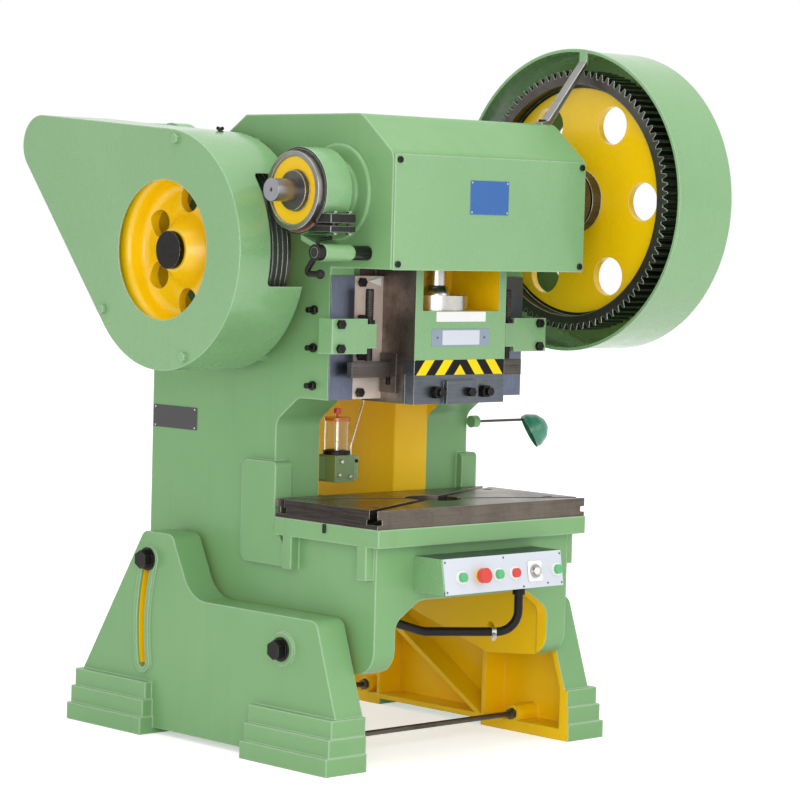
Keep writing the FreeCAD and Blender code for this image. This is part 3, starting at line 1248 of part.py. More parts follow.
piece("brake_drum", turned([
    (D.shaft_nose + D.fit_gap, 0.0),
    (D.drum_radius, 0.0),
    (D.drum_radius, drum_run),
    (D.drum_radius - D.drum_rim, drum_run),
    (D.drum_radius - D.drum_rim, drum_run - D.drum_recess),
    (D.drum_hub, drum_run - D.drum_recess - D.drum_dish),
    (D.drum_hub, drum_run),
    (D.shaft_nose + D.fit_gap, drum_run),
], -D.drum_inner, 0.0, D.crank_height, "-x"))


def open_ring(inner, outer, start, length):
    """A ring about the crankshaft that leaves the brake's opening free."""
    ring = rod(outer, length, start, 0.0, D.crank_height, "x")
    bind(ring, Angle=360.0 - D.band_gap_angle)
    begin = 90 + 180 - D.band_gap_middle.value + D.band_gap_angle.value / 2
    ring.Placement.Rotation = ALONG["x"] * FreeCAD.Rotation(FreeCAD.Vector(0, 0, 1), begin)
    return cut(ring, rod(inner, length, start, 0.0, D.crank_height, "x"))


lining_in = D.drum_radius + D.running_gap
lining_out = lining_in + D.lining
band_in = lining_out + D.running_gap
band_out = band_in + D.band
band_start = -D.drum_outer + D.band_inset
band_length = drum_run - D.band_inset - D.band_inset_inner
band_end = band_start + band_length
gap_middle = D.crank_height - D.lug_gap_drop
lug_top = gap_middle + D.lug_gap / 2 + D.lug_upper
lug_low = gap_middle - D.lug_gap / 2 - D.lug_lower
lugs = [
    block((band_start, band_end), (-D.lug_reach, -D.lug_root), (gap_middle + D.lug_gap / 2, lug_top)),
    block((band_start, band_end), (-D.lug_reach, -D.lug_root), (lug_low, gap_middle - D.lug_gap / 2)),
]
lug_bolts = []
for x in (band_start + D.lug_bolt_inset, band_end - D.lug_bolt_inset):
    lug_bolts.append(rod(D.lug_bolt, lug_top - lug_low, x, -D.lug_bolt_y, lug_low))
    lug_bolts.append(hexagon(D.lug_nut, D.lug_nut_height, x, -D.lug_bolt_y, lug_top))
    lug_bolts.append(hexagon(D.lug_nut, D.lug_nut_height, x, -D.lug_bolt_y, lug_low, "-z"))
drum_room = rod(band_in, band_length * 2, band_start - D.band, 0.0, D.crank_height, "x")
piece("brake_band", fuse(
    open_ring(band_in, band_out, band_start, band_length), cut(fuse(*lugs), drum_room), *lug_bolts))
piece("brake_lining", open_ring(lining_in, lining_out, band_start, band_length))

# The stud carries a black boss at the frame and a sleeve, whose arm holds the band from below.
sleeve_start = D.frame_half + D.brake_collar_length
sleeve_run = D.brake_stud_end - D.brake_arm_sheet - sleeve_start - D.running_gap
anchor_top = D.crank_height - band_out - D.running_gap
anchor = plate("yz", [
    (D.brake_pin_y, D.brake_pin_height - D.anchor_sheet / 2),
    (D.anchor_end, anchor_top - D.anchor_sheet),
    (D.anchor_end, anchor_top),
    (D.brake_pin_y, D.brake_pin_height + D.anchor_sheet / 2),
], band_start, band_length)
piece("brake_stud", fuse(
    rod(D.brake_pin_radius, D.brake_stud_end - D.frame_half, -D.frame_half, D.brake_pin_y,
        D.brake_pin_height, "-x"),
    rod(D.brake_boss, D.brake_collar_length, -D.frame_half, D.brake_pin_y, D.brake_pin_height, "-x"),
    rod(D.brake_collar, sleeve_run, -sleeve_start, D.brake_pin_y, D.brake_pin_height, "-x"),
    anchor))
lever_x = -D.brake_stud_end + D.brake_arm_sheet / 2
arm_foot = D.brake_pin_height - D.brake_arm
arm_rear = D.brake_pin_y + D.brake_arm_width
grip_end = arm_rear - D.brake_grip
arm = bent_pipe(D.brake_rod, [
    (lever_x, D.brake_pin_y, D.brake_pin_height, 0.0),
    (lever_x, arm_rear, arm_foot, D.brake_rod),
    (lever_x, grip_end, arm_foot, 0.0),
])
finger = bent_pipe(D.brake_finger, [
    (lever_x, D.brake_pin_y, D.brake_pin_height, 0.0),
    (lever_x, D.brake_pin_y, D.brake_pin_height + D.brake_collar + D.brake_finger * 2, D.brake_finger),
    (lever_x + D.brake_finger_in, D.brake_pin_y, D.brake_pin_height + D.brake_finger_rise, 0.0),
])
piece("brake_lever", cut(
    fuse(
        rod(D.brake_hub, D.brake_arm_sheet, -D.brake_stud_end, D.brake_pin_y, D.brake_pin_height, "x"),
        arm, finger, ball(D.brake_ball, lever_x, grip_end, arm_foot)),
    rod(D.brake_pin_radius + D.fit_gap, D.brake_stud_end, -D.brake_stud_end, D.brake_pin_y,
        D.brake_pin_height, "x")))

# ------------------------------------------------------------------ connecting rod and screw
rod_top = turned([
    (D.crank_pin + D.fit_gap, -D.rod_half),
    (D.rod_big_end, -D.rod_half),
    (D.rod_big_end, D.rod_half),
    (D.crank_pin + D.fit_gap, D.rod_half),
], 0.0, 0.0, pin_height, "x")
rod_neck = cut(
    rod(D.rod_neck, pin_height - D.rod_bottom - D.crank_pin, 0.0, 0.0, D.rod_bottom),
    rod(D.crank_pin + D.fit_gap, D.rod_half * 2, -D.rod_half, 0.0, pin_height, "x"))
neck_bore = rod(D.screw_radius + D.fit_gap, D.screw_thread, 0.0, 0.0, D.rod_bottom)
piece("connecting_rod", cut(fuse(rod_top, rod_neck), neck_bore))
piece("ball_screw", fuse(
    ball(D.ball_radius, 0.0, 0.0, D.ball_height),
    rod(D.screw_radius, D.rod_bottom + D.screw_thread - D.ball_height, 0.0, 0.0, D.ball_height),
    hexagon(D.lock_nut, D.lock_nut_thickness, 0.0, 0.0, D.rod_bottom - D.lock_nut_thickness)))

# ------------------------------------------------------------------ gears


def gear_blank(teeth, x, width, y, z, first_tooth):
    """A toothed disc about the X axis; its flanks run straight between root and tip."""
    module = D.gear_module.value
    pitch = module * teeth / 2
    pressure = math.radians(D.pressure_angle.value)
    base = pitch * math.cos(pressure)
    half_at_pitch = math.pi / (2 * teeth) - D.tooth_backlash.value / (4 * pitch)

    def half_angle(radius):
        """Half a tooth's angle at a radius."""
        at = math.acos(base / max(radius, base))
        involute = math.tan(pressure) - pressure - math.tan(at) + at
        return half_at_pitch + involute

    tip, foot = pitch + module, pitch - module * D.root_factor.value
    points = []
    for tooth in range(teeth):
        middle = first_tooth + 2 * math.pi * tooth / teeth
        for radius, side in ((foot, -1), (tip, -1), (tip, 1), (foot, 1)):
            angle = middle + side * half_angle(radius)
            points.append(FreeCAD.Vector(0, radius * math.cos(angle), radius * math.sin(angle)))
    face = Part.Face(Part.makePolygon(points + points[:1]))
    feature = doc.addObject("Part::Feature", "Toothed")
    feature.Shape = face.extrude(FreeCAD.Vector(number(width), 0, 0))
    return put(feature, x, y, z)


mesh_angle = math.atan2(-D.drive_rise.value, D.drive_y.value)
pinion_step = 2 * math.pi / D.pinion_teeth.value
web_start = D.gear_start + (D.gear_width - D.gear_web) / 2
root_radius = D.gear_module * (D.gear_teeth / 2 - D.root_factor)
disc_radius = root_radius - D.gear_rim
side_run = (D.gear_width - D.gear_web) / 2
gear_cuts = [
    rod(D.journal + D.fit_gap, D.gear_width, D.gear_start, 0.0, D.crank_height, "x")]
for start in (D.gear_start, web_start + D.gear_web):
    gear_cuts.append(turned([
        (D.gear_hub, 0.0), (disc_radius, 0.0), (disc_radius, side_run), (D.gear_hub, side_run),
    ], start, 0.0, D.crank_height, "x"))
for across, up in around(D.gear_holes, D.gear_hole_circle):
    gear_cuts.append(rod(D.gear_hole, D.gear_width, D.gear_start, across, D.crank_height + up, "x"))
bull = cut(gear_blank(int(D.gear_teeth.value), D.gear_start, D.gear_width, 0.0, D.crank_height,
                      mesh_angle), *gear_cuts)
piece("bull_gear", bull)
clutch_start = D.sleeve_end + D.bush_flange
piece("clutch_sleeve", turned([
    (D.journal + D.fit_gap, 0.0),
    (D.clutch_radius, 0.0),
    (D.clutch_radius, D.clutch_end - clutch_start),
    (D.clutch_neck, D.clutch_end - clutch_start),
    (D.clutch_neck, D.gear_start - clutch_start),
    (D.journal + D.fit_gap, D.gear_start - clutch_start),
], clutch_start, 0.0, D.crank_height, "x"))

pinion_blank = gear_blank(int(D.pinion_teeth.value), D.gear_start, D.gear_width, D.drive_y,
                          D.drive_height, mesh_angle + math.pi + pinion_step / 2)
piece("pinion", cut(pinion_blank, rod(D.drive_shaft + D.fit_gap, D.gear_width, D.gear_start,
                                      D.drive_y, D.drive_height, "x")))
piece("drive_shaft", fuse(
    rod(D.drive_shaft, D.drive_end * 2, -D.drive_end, D.drive_y, D.drive_height, "x"),
    rod(D.wheel_nut, D.wheel_nut_thickness, -D.wheel_nut_end, D.drive_y, D.drive_height, "x")))

bearings = []
for side in (-1, 1):
    outward = "-x" if side < 0 else "x"
    wall_run = D.frame_half - D.cheek_inner
    bearings.append(turned([
        (D.drive_shaft + D.fit_gap, 0.0),
        (D.bearing_outer, 0.0),
        (D.bearing_outer, wall_run),
        (D.bearing_flange, wall_run),
        (D.bearing_flange, wall_run + D.bearing_flange_thickness),
        (D.drive_shaft + D.fit_gap, wall_run + D.bearing_flange_thickness),
    ], D.cheek_inner * side, D.drive_y, D.drive_height, outward))
piece("drive_shaft_bearings", group(*bearings))

# ------------------------------------------------------------------ flywheel, belts and motor
wheel_width = D.flywheel_end - D.flywheel_start
groove_inner = D.flywheel_radius - D.belt_height - D.running_gap
rim_inner = groove_inner - D.flywheel_rim
wheel_web_high = D.flywheel_web_end - D.flywheel_start
wheel_web_low = wheel_web_high - D.flywheel_web
hub_high = wheel_width - D.wheel_nut_thickness / 2
wheel = turned([
    (D.drive_shaft + D.fit_gap, 0.0),
    (D.flywheel_hub, 0.0),
    (D.flywheel_hub, wheel_web_low),
    (rim_inner, wheel_web_low),
    (rim_inner, 0.0),
    (D.flywheel_radius, 0.0),
    (D.flywheel_radius, wheel_width),
    (rim_inner, wheel_width, D.flywheel_round),
    (rim_inner - D.flywheel_dish, wheel_web_high, D.flywheel_round),
    (D.flywheel_cone, wheel_web_high, D.flywheel_round),
    (D.flywheel_hub, hub_high),
    (D.drive_shaft + D.fit_gap, hub_high),
], -D.flywheel_start, D.drive_y, D.drive_height, "-x")
wheel_cuts = []
pulley_cuts = []
belts = []
for belt in range(int(D.belt_count.value)):
    middle = D.belt_start - D.flywheel_start + D.belt_pitch * belt
    low = middle - D.belt_width / 2 - D.running_gap
    high = middle + D.belt_width / 2 + D.running_gap
    for cuts, inner, outer, y, z in (
            (wheel_cuts, groove_inner, D.flywheel_radius + D.belt_height, D.drive_y, D.drive_height),
            (pulley_cuts, D.pulley_radius - D.belt_height - D.running_gap,
             D.pulley_radius + D.belt_height, D.motor_y, D.motor_height)):
        cuts.append(turned([(inner, low), (outer, low), (outer, high), (inner, high)],
                           -D.flywheel_start, y, z, "-x"))
    start = -D.flywheel_start - middle - D.belt_width / 2
    belts.append(cut(teardrop(D.flywheel_radius, D.pulley_radius, start, D.belt_width),
                     teardrop(D.flywheel_radius - D.belt_height, D.pulley_radius - D.belt_height,
                              start, D.belt_width)))
for across, up in around(D.flywheel_holes, D.flywheel_hole_circle, D.flywheel_turn.value):
    wheel_cuts.append(rod(D.flywheel_hole, wheel_width, -D.flywheel_end, D.drive_y + across,
                          D.drive_height + up, "x"))
piece("flywheel", cut(wheel, *wheel_cuts))
piece("v_belts", group(*belts))
pulley_width = D.belt_start - D.flywheel_start + D.belt_pitch * D.belt_count
piece("motor_pulley", cut(
    fuse(
        rod(D.pulley_radius, pulley_width, -D.flywheel_start, D.motor_y, D.motor_height, "-x"),
        rod(D.motor_shaft, D.flywheel_start + pulley_width - D.motor_start,
            -D.flywheel_start - pulley_width, D.motor_y, D.motor_height, "x")),
    *pulley_cuts))
foot_top = D.motor_height - D.motor_foot
motor_parts = [
    rod(D.motor_radius - D.motor_fin, D.motor_length, -D.motor_start, D.motor_y, D.motor_height, "x"),
    rod(D.motor_radius, D.motor_flange, -D.motor_start, D.motor_y, D.motor_height, "x"),
    rod(D.motor_radius, D.motor_cowl, -D.motor_start + D.motor_length - D.motor_cowl, D.motor_y,
        D.motor_height, "x"),
    block((-D.motor_start + D.motor_flange, -D.motor_start + D.motor_length - D.motor_cowl),
          (D.motor_y - D.motor_foot_half, D.motor_y + D.motor_foot_half),
          (foot_top, foot_top + D.bracket_plate)),
    block((-D.motor_start + D.motor_flange * 2, -D.motor_start + D.motor_length - D.motor_cowl * 2),
          (D.motor_y - D.motor_radius / 2, D.motor_y + D.motor_radius / 2),
          (foot_top, D.motor_height)),
]
for fin in range(int(D.motor_fins.value)):
    turn = FreeCAD.Rotation(FreeCAD.Vector(1, 0, 0), 180.0 * fin / D.motor_fins.value)
    fin_plate = doc.addObject("Part::Box", "Fin")
    bind(fin_plate, Length=D.motor_length - D.motor_cowl, Width=D.motor_radius * 2 - D.motor_fin,
         Height=D.motor_fin_sheet)
    offset = turn.multVec(FreeCAD.Vector(
        0, -D.motor_radius.value + D.motor_fin.value / 2, -D.motor_fin_sheet.value / 2))
    fin_plate.Placement = FreeCAD.Placement(FreeCAD.Vector(
        -D.motor_start.value, (D.motor_y - D.ram_setback).value + offset.y,
        D.motor_height.value + offset.z), turn)
    motor_parts.append(fin_plate)
box_start = -D.motor_start + D.motor_flange * 2
box_near = D.motor_y + D.motor_radius - D.motor_fin * 2
motor_parts.append(block((box_start, box_start + D.motor_box), (box_near, box_near + D.motor_box / 2),
                         (D.motor_height - D.motor_box / 2, D.motor_height + D.motor_box / 2)))
piece("motor", fuse(*motor_parts))
shelf_low = foot_top - D.bracket_plate
bracket_left = D.bracket_centre - D.bracket_half
bracket_right = D.bracket_centre + D.bracket_half
gussets = []
for x in (bracket_left, bracket_right - D.bracket_plate):
    gussets.append(plate("yz", [
        (D.frame_rear, shelf_low - D.bracket_drop + D.bracket_plate),
        (D.frame_rear + D.bracket_reach, shelf_low),
        (D.frame_rear, shelf_low),
    ], x, D.bracket_plate))
piece("motor_bracket", fuse(
    block((bracket_left, bracket_right), (D.frame_rear, D.frame_rear + D.bracket_plate),
          (shelf_low - D.bracket_drop, shelf_low)),
    block((bracket_left, bracket_right), (D.frame_rear, D.frame_rear + D.bracket_reach),
          (shelf_low, foot_top)), *gussets))
for x in (bracket_left + D.bracket_bolt_inset, bracket_right - D.bracket_bolt_inset):
    for z in (shelf_low - D.bracket_drop + D.bracket_bolt_inset, shelf_low - D.bracket_bolt_top):
        hex_bolts.append(hexagon(D.gib_bolt_head, D.gib_bolt_head_height, x,
                                 D.frame_rear + D.bracket_plate, z, "y"))
piece("hex_bolts", group(*hex_bolts))

# ------------------------------------------------------------------ covers of the drive
cover_run = D.cover_outer - D.cover_inner
belt_cover = cut(
    teardrop(D.cover_large, D.cover_small, -D.cover_outer, cover_run),
    teardrop(D.cover_large - D.cover_sheet, D.cover_small - D.cover_sheet,
             -D.cover_outer + D.cover_sheet, cover_run),
    rod(D.cover_window, cover_run, -D.cover_outer, D.drive_y, D.drive_height, "x"),
    plate("xz", [
        (-D.cover_notch_start, D.cover_notch_bottom, D.cover_notch_round),
        (-D.frame_half, D.cover_notch_bottom),
        (-D.frame_half, D.cover_notch_top),
        (-D.cover_notch_start, D.cover_notch_top, D.cover_notch_round),
    ], D.cover_notch_rear - D.cover_large, D.cover_large))
stud_places = []
for angle in (D.stud_angle_top, D.stud_angle_low, D.stud_angle_rear):
    stud_places.append((D.drive_y + D.stud_circle * cosine(angle),
                        D.drive_height + D.stud_circle * sine(angle)))
studs = []
stud_holes = []
for y, z in stud_places:
    studs.append(fuse(
        rod(D.stud_radius, D.cover_outer - D.cover_sheet - D.frame_half, -D.frame_half, y, z, "-x"),
        rod(D.stud_end, D.cover_outer + D.running_gap - D.frame_half, -D.frame_half, y, z, "-x"),
        hexagon(D.gib_bolt_head, D.gib_bolt_head_height, -D.cover_outer, y, z, "-x")))
    stud_holes.append(rod(D.stud_end + D.running_gap, D.cover_sheet * 2, -D.cover_outer, y, z, "x"))
piece("belt_cover", cut(belt_cover, *stud_holes))
piece("belt_cover_studs", group(*studs))

guard_run = D.guard_end - D.guard_start
guard_outer = fuse(
    rod(D.guard_radius, guard_run, D.guard_start, 0.0, D.crank_height, "x"),
    rod(D.guard_pinion, guard_run, D.guard_start, D.drive_y, D.drive_height, "x"),
    rod(D.guard_radius + D.guard_bead, D.guard_bead_width, D.guard_start, 0.0, D.crank_height, "x"),
    rod(D.guard_pinion + D.guard_bead, D.guard_bead_width, D.guard_start, D.drive_y, D.drive_height, "x"))
guard_inner = fuse(
    rod(D.guard_radius - D.guard_sheet, guard_run, D.guard_start - D.guard_sheet, 0.0,
        D.crank_height, "x"),
    rod(D.guard_pinion - D.guard_sheet, guard_run, D.guard_start - D.guard_sheet, D.drive_y,
        D.drive_height, "x"))
guard_hole = rod(D.guard_mouth, guard_run * 2, D.guard_start, 0.0, D.crank_height, "x")
guard = cut(guard_outer, guard_inner, guard_hole)
strap_top = D.crank_height + D.guard_radius - D.guard_sheet
strap = plate("xz", [
    (D.frame_half - D.strap_foot, D.frame_top),
    (D.frame_half + D.strap_sheet, D.frame_top),
    (D.guard_start + D.strap_sheet, strap_top - D.strap_foot),
    (D.guard_start + D.strap_sheet, strap_top),
    (D.guard_start, strap_top),
    (D.guard_start, strap_top - D.strap_foot + D.strap_sheet),
    (D.frame_half - D.strap_sheet, D.frame_top + D.strap_sheet * 2),
    (D.frame_half - D.strap_foot, D.frame_top + D.strap_sheet),
], D.strap_y, D.strap_width)
piece("gear_cover", fuse(guard, strap))

# ------------------------------------------------------------------ slide
bar_slot_low = D.bar_height - D.bar_section / 2 - D.bar_travel - D.bar_play
bar_slot_high = D.bar_height + D.bar_section / 2 + D.bar_play
bar_front = D.bar_y - D.bar_thickness / 2 - D.running_gap
bar_rear = D.bar_y + D.bar_thickness / 2 + D.running_gap
window_half = D.slide_half - D.slide_side
slide_blank = fuse(
    block((-D.slide_half, D.slide_half), (D.slide_front, D.slide_rear), (D.slide_bottom, D.slide_top)),
    block((-D.way_half, D.way_half), (D.way_front + D.running_gap, D.slide_rear),
          (D.cheek_bottom, D.slide_top)))
slide_cuts = [
    block((-D.slide_half - D.side_wall, D.slide_half + D.side_wall),
          (D.slide_front - D.wall, D.slide_front + D.clamp_depth), (0.0, D.clamp_top)),
    block((-window_half, window_half), (D.slide_front - D.wall, D.slide_rear - D.slide_back),
          (D.slide_floor, D.frame_top)),
    block((-D.ball_radius - D.ball_play, D.ball_radius + D.ball_play),
          (-D.ball_swing_half, D.ball_swing_half), (D.ball_pocket_floor, D.slide_top)),
    rod(D.shank_radius, D.shank_top - D.slide_bottom, 0.0, 0.0, D.slide_bottom),
    rod(D.knockout_radius, D.bar_height - D.shank_top, 0.0, D.bar_y, D.shank_top),
    block((-D.bar_half, D.bar_half), (bar_front, bar_rear), (bar_slot_low, bar_slot_high)),
]
piece("slide_block", cut(slide_blank, *slide_cuts))
piece("ball_seat_ring", turned([
    (D.ring_inner, D.slide_floor + D.running_gap),
    (D.ring_outer, D.slide_floor + D.running_gap),
    (D.ring_outer, D.ring_top),
    (D.ring_inner, D.ring_top),
], 0.0, 0.0, 0.0))
piece("clamp_block", cut(
    fuse(
        block((-D.slide_half + D.running_gap, D.slide_half - D.running_gap),
              (D.slide_front, D.slide_front + D.clamp_depth - D.running_gap),
              (D.slide_bottom, D.clamp_top - D.running_gap)),
        block((-D.clamp_lug_half, D.clamp_lug_half),
              (D.slide_front - D.clamp_lug_rise, D.slide_front),
              (D.slide_bottom, D.clamp_top - D.clamp_lug_drop))),
    rod(D.shank_radius, D.table_height, 0.0, 0.0, D.bed_top)))
clamp_nuts = []
for x in (-D.clamp_bolt_x, D.clamp_bolt_x):
    clamp_nuts.append(fuse(
        hexagon(D.clamp_nut, D.clamp_nut_thickness, x, D.slide_front, D.clamp_nut_height, "-y"),
        rod(D.clamp_bolt, D.clamp_stud, x, D.slide_front, D.clamp_nut_height, "-y")))
clamp_nuts.append(fuse(
    hexagon(D.clamp_screw_head, D.clamp_nut_thickness, D.clamp_screw_x,
            D.slide_front - D.clamp_lug_rise, D.clamp_nut_height, "-y")))
piece("clamp_nuts", group(*clamp_nuts))
piece("knockout_bar", block((-D.bar_half, D.bar_half),
                            (D.bar_y - D.bar_thickness / 2, D.bar_y + D.bar_thickness / 2),
                            (D.bar_height - D.bar_section / 2, D.bar_height + D.bar_section / 2)))
bar_plates = []
for side in (-1, 1):
    near, far = D.slide_half, D.slide_half + D.bar_plate
    span_x = (near, far) if side > 0 else (-far, -near)
    bar_plates.append(cut(
        block(span_x, (bar_front - D.bar_plate_rim, bar_rear + D.bar_plate_rim),
              (bar_slot_low - D.bar_plate_rim, bar_slot_high + D.bar_plate_rim)),
        block((-D.bar_half, D.bar_half), (bar_front, bar_rear), (bar_slot_low, bar_slot_high))))
piece("bar_guide_plates", group(*bar_plates))

# ------------------------------------------------------------------ control box
lean_sine, lean_cosine = sine(D.box_lean), cosine(D.box_lean)
box_low_front = D.box_front - D.box_height * lean_sine / lean_cosine
box_rear = D.frame_front


def on_panel(up, out):
    """A place on the control panel: distance up its face and out from it, as y and z."""
    return (box_low_front + up * lean_sine - out * lean_cosine,
            D.box_bottom + up * lean_cosine + out * lean_sine)


PANEL_TURN = FreeCAD.Rotation(FreeCAD.Vector(1, 0, 0), 90 - D.box_lean.value)


def panel_rod(radius, length, x, up, out):
    """A cylinder that stands on the control panel."""
    y, z = on_panel(up, out)
    feature = doc.addObject("Part::Cylinder", "Rod")
    bind(feature, Radius=radius, Height=length)
    return put(feature, x, y, z, turn=PANEL_TURN)


def panel_block(across, up, out):
    """A box on the control panel between two sizes across, up its face and out from it."""
    y, z = on_panel(up[0], out[0])
    feature = doc.addObject("Part::Box", "Block")
    bind(feature, Length=across[1] - across[0], Width=up[1] - up[0], Height=out[1] - out[0])
    return put(feature, across[0], y, z, turn=PANEL_TURN)


box_top = D.box_bottom + D.box_height
box_shell = cut(
    plate("yz", [
        (box_low_front, D.box_bottom, D.box_round), (box_rear, D.box_bottom),
        (box_rear, box_top), (D.box_front, box_top),
    ], -D.box_half, D.box_half * 2),
    plate("yz", [
        (box_low_front - D.box_height, D.box_bottom + D.box_sheet),
        (box_rear - D.box_sheet, D.box_bottom + D.box_sheet),
        (box_rear - D.box_sheet, box_top - D.box_sheet),
        (D.box_front - D.box_height, box_top - D.box_sheet),
    ], -D.box_half + D.box_sheet, (D.box_half - D.box_sheet) * 2))
piece("control_box", box_shell)
controls = {
    "start_button_left": D.button_1_x,
    "run_button": D.button_2_x,
    "stop_button": D.button_3_x,
    "start_button_right": D.button_4_x,
    "emergency_stop": D.emergency_x,
    "key_switch": D.key_x,
}
panel_length = D.box_height / lean_cosine
panel = block((-D.box_half + D.box_sheet, D.box_half - D.box_sheet), (0.0, D.panel_sheet),
              (0.0, panel_length))
put(panel, -D.box_half + D.box_sheet, *on_panel(0.0, D.panel_sheet),
    turn=FreeCAD.Rotation(FreeCAD.Vector(1, 0, 0), -D.box_lean.value))
openings = []
bezels = []
for name, x in controls.items():
    hole = D.key_radius if name == "key_switch" else D.button_radius
    openings.append(panel_rod(hole + D.running_gap, D.button_depth, x, D.button_height, -D.button_depth / 2))
    ring = panel_rod(D.button_bezel, D.bezel_rise, x, D.button_height, D.panel_sheet)
    bezels.append(cut(ring, panel_rod(hole + D.running_gap, D.button_depth, x, D.button_height, 0.0)))
    reach = D.button_depth + D.panel_sheet
    if name == "emergency_stop":
        part = fuse(
            panel_rod(hole, reach + D.button_rise, x, D.button_height, -D.button_depth),
            panel_rod(D.stop_head, D.button_rise, x, D.button_height, D.stop_head_out))
    elif name == "key_switch":
        part = fuse(
            panel_rod(hole, reach + D.bezel_rise * 2, x, D.button_height, -D.button_depth),
            panel_block((x - D.key_sheet / 2, x + D.key_sheet / 2),
                        (D.button_height - D.key_blade, D.button_height + D.key_blade),
                        (D.bezel_rise, D.key_length)))
    else:
        part = panel_rod(hole, reach + D.button_rise, x, D.button_height, -D.button_depth)
    controls[name] = (x, part)
piece("control_panel", cut(panel, *openings))
piece("button_bezels", group(*bezels))
for name, (x, part) in controls.items():
    piece(name, part)


# ------------------------------------------------------------------ conduit
conduit_y = (box_low_front + box_rear) / 2
inside_wall = -(D.frame_half - D.side_wall)
pipe = bent_pipe(D.conduit_radius, [
    (D.conduit_x, conduit_y, D.box_bottom - D.gland_length, 0.0),
    (D.conduit_x, conduit_y, D.conduit_low, D.conduit_bend),
    (D.conduit_left, D.conduit_y, D.conduit_low, D.conduit_bend),
    (inside_wall + D.gland_length, D.conduit_y, D.conduit_end_height, 0.0),
])
piece("conduit", fuse(
    pipe,
    rod(D.gland_radius, D.gland_length, D.conduit_x, conduit_y, D.box_bottom, "-z"),
    rod(D.gland_radius, D.gland_length, inside_wall, D.conduit_y, D.conduit_end_height, "x")))

# ------------------------------------------------------------------ lubricator
glass_low = D.pump_bottom + D.pump_body
glass_high = glass_low + D.pump_glass_height
valve_x = D.pump_x + D.pump_half
pipe_x = valve_x + D.valve_width / 2
valve_top = glass_low - D.valve_drop
oil_pipe = bent_pipe(D.oil_pipe, [
    (pipe_x, D.pump_y, valve_top - D.valve_drop, 0.0),
    (pipe_x, D.pump_y, valve_top + D.valve_depth, D.valve_depth),
    (pipe_x + D.oil_pipe_run, D.pump_y, D.cheek_bottom - D.valve_depth, D.valve_depth),
    (pipe_x + D.oil_pipe_run, D.pump_y, D.cheek_bottom, 0.0),
])
piece("lubricator_body", cut(
    fuse(
        block((D.pump_x - D.pump_half, valve_x), (D.pump_y - D.pump_half, D.pump_y + D.pump_half),
              (D.pump_bottom, glass_low)),
        block((-D.passage_half, D.pump_x), (D.passage_start, D.pump_y + D.pump_half),
              (D.pump_bottom + D.valve_drop, valve_top)),
        block((valve_x, valve_x + D.valve_width),
              (D.pump_y - D.valve_depth / 2, D.pump_y + D.valve_depth / 2),
              (D.pump_bottom + D.valve_drop, valve_top)),
        oil_pipe,
        rod(D.pump_glass + D.lamp_sheet, D.pump_cap, D.pump_x, D.pump_y, glass_high),
        rod(D.pump_stem * 2, D.pump_glass_height, D.pump_x, D.pump_y, glass_low)),
    rod(D.pump_stem + D.running_gap, D.pump_glass_height, D.pump_x, D.pump_y,
        glass_high - D.pump_knob_travel * 3)))
piece("lubricator_glass", cut(
    rod(D.pump_glass, D.pump_glass_height - D.running_gap * 2, D.pump_x, D.pump_y, glass_low + D.running_gap),
    rod(D.pump_glass - D.lamp_sheet, D.pump_glass_height, D.pump_x, D.pump_y, glass_low)))
knob_low = glass_high + D.pump_cap + D.pump_knob_travel
piece("lubricator_knob", fuse(
    rod(D.pump_knob, D.pump_knob_height, D.pump_x, D.pump_y, knob_low),
    rod(D.pump_stem, D.pump_cap + D.pump_knob_travel * 2, D.pump_x, D.pump_y, knob_low, "-z")))

# ------------------------------------------------------------------ lamp
lamp_root = D.frame_half
piece("lamp_arm", fuse(
    rod(D.lamp_rod, D.lamp_reach - lamp_root - D.lamp_base, lamp_root + D.lamp_base, D.lamp_y,
        D.lamp_height, "x"),
    rod(D.lamp_base_radius, D.lamp_base, lamp_root, D.lamp_y, D.lamp_height, "x")))
MOUTH_WAY = FreeCAD.Vector(D.mouth_side.value, D.mouth_back.value, D.mouth_rise.value)
SHADE_TURN = FreeCAD.Rotation(FreeCAD.Vector(0, 0, -1), MOUTH_WAY)
mouth_x = D.lamp_reach + D.shade_side
mouth_z = D.lamp_height - D.shade_fall
shade_inner = D.lamp_shade - D.lamp_sheet
piece("lamp_shade", turned([
    (shade_inner, 0.0),
    (D.lamp_shade, 0.0),
    (D.lamp_shade, D.shade_round / 2, D.shade_round / 2),
    (D.lamp_shade - D.shade_neck, D.shade_depth - D.shade_neck, D.shade_round),
    (D.shade_neck, D.shade_depth, D.shade_neck),
    (0.0, D.shade_depth),
    (0.0, D.shade_depth - D.lamp_sheet),
    (D.shade_neck - D.lamp_sheet, D.shade_depth - D.lamp_sheet, D.shade_neck - D.lamp_sheet),
    (D.lamp_shade - D.shade_neck - D.lamp_sheet, D.shade_depth - D.shade_neck - D.lamp_sheet,
     D.shade_round - D.lamp_sheet),
    (shade_inner, D.shade_round / 2 - D.lamp_sheet, D.shade_round / 2 - D.lamp_sheet),
], mouth_x, D.lamp_y, mouth_z, turn=SHADE_TURN))

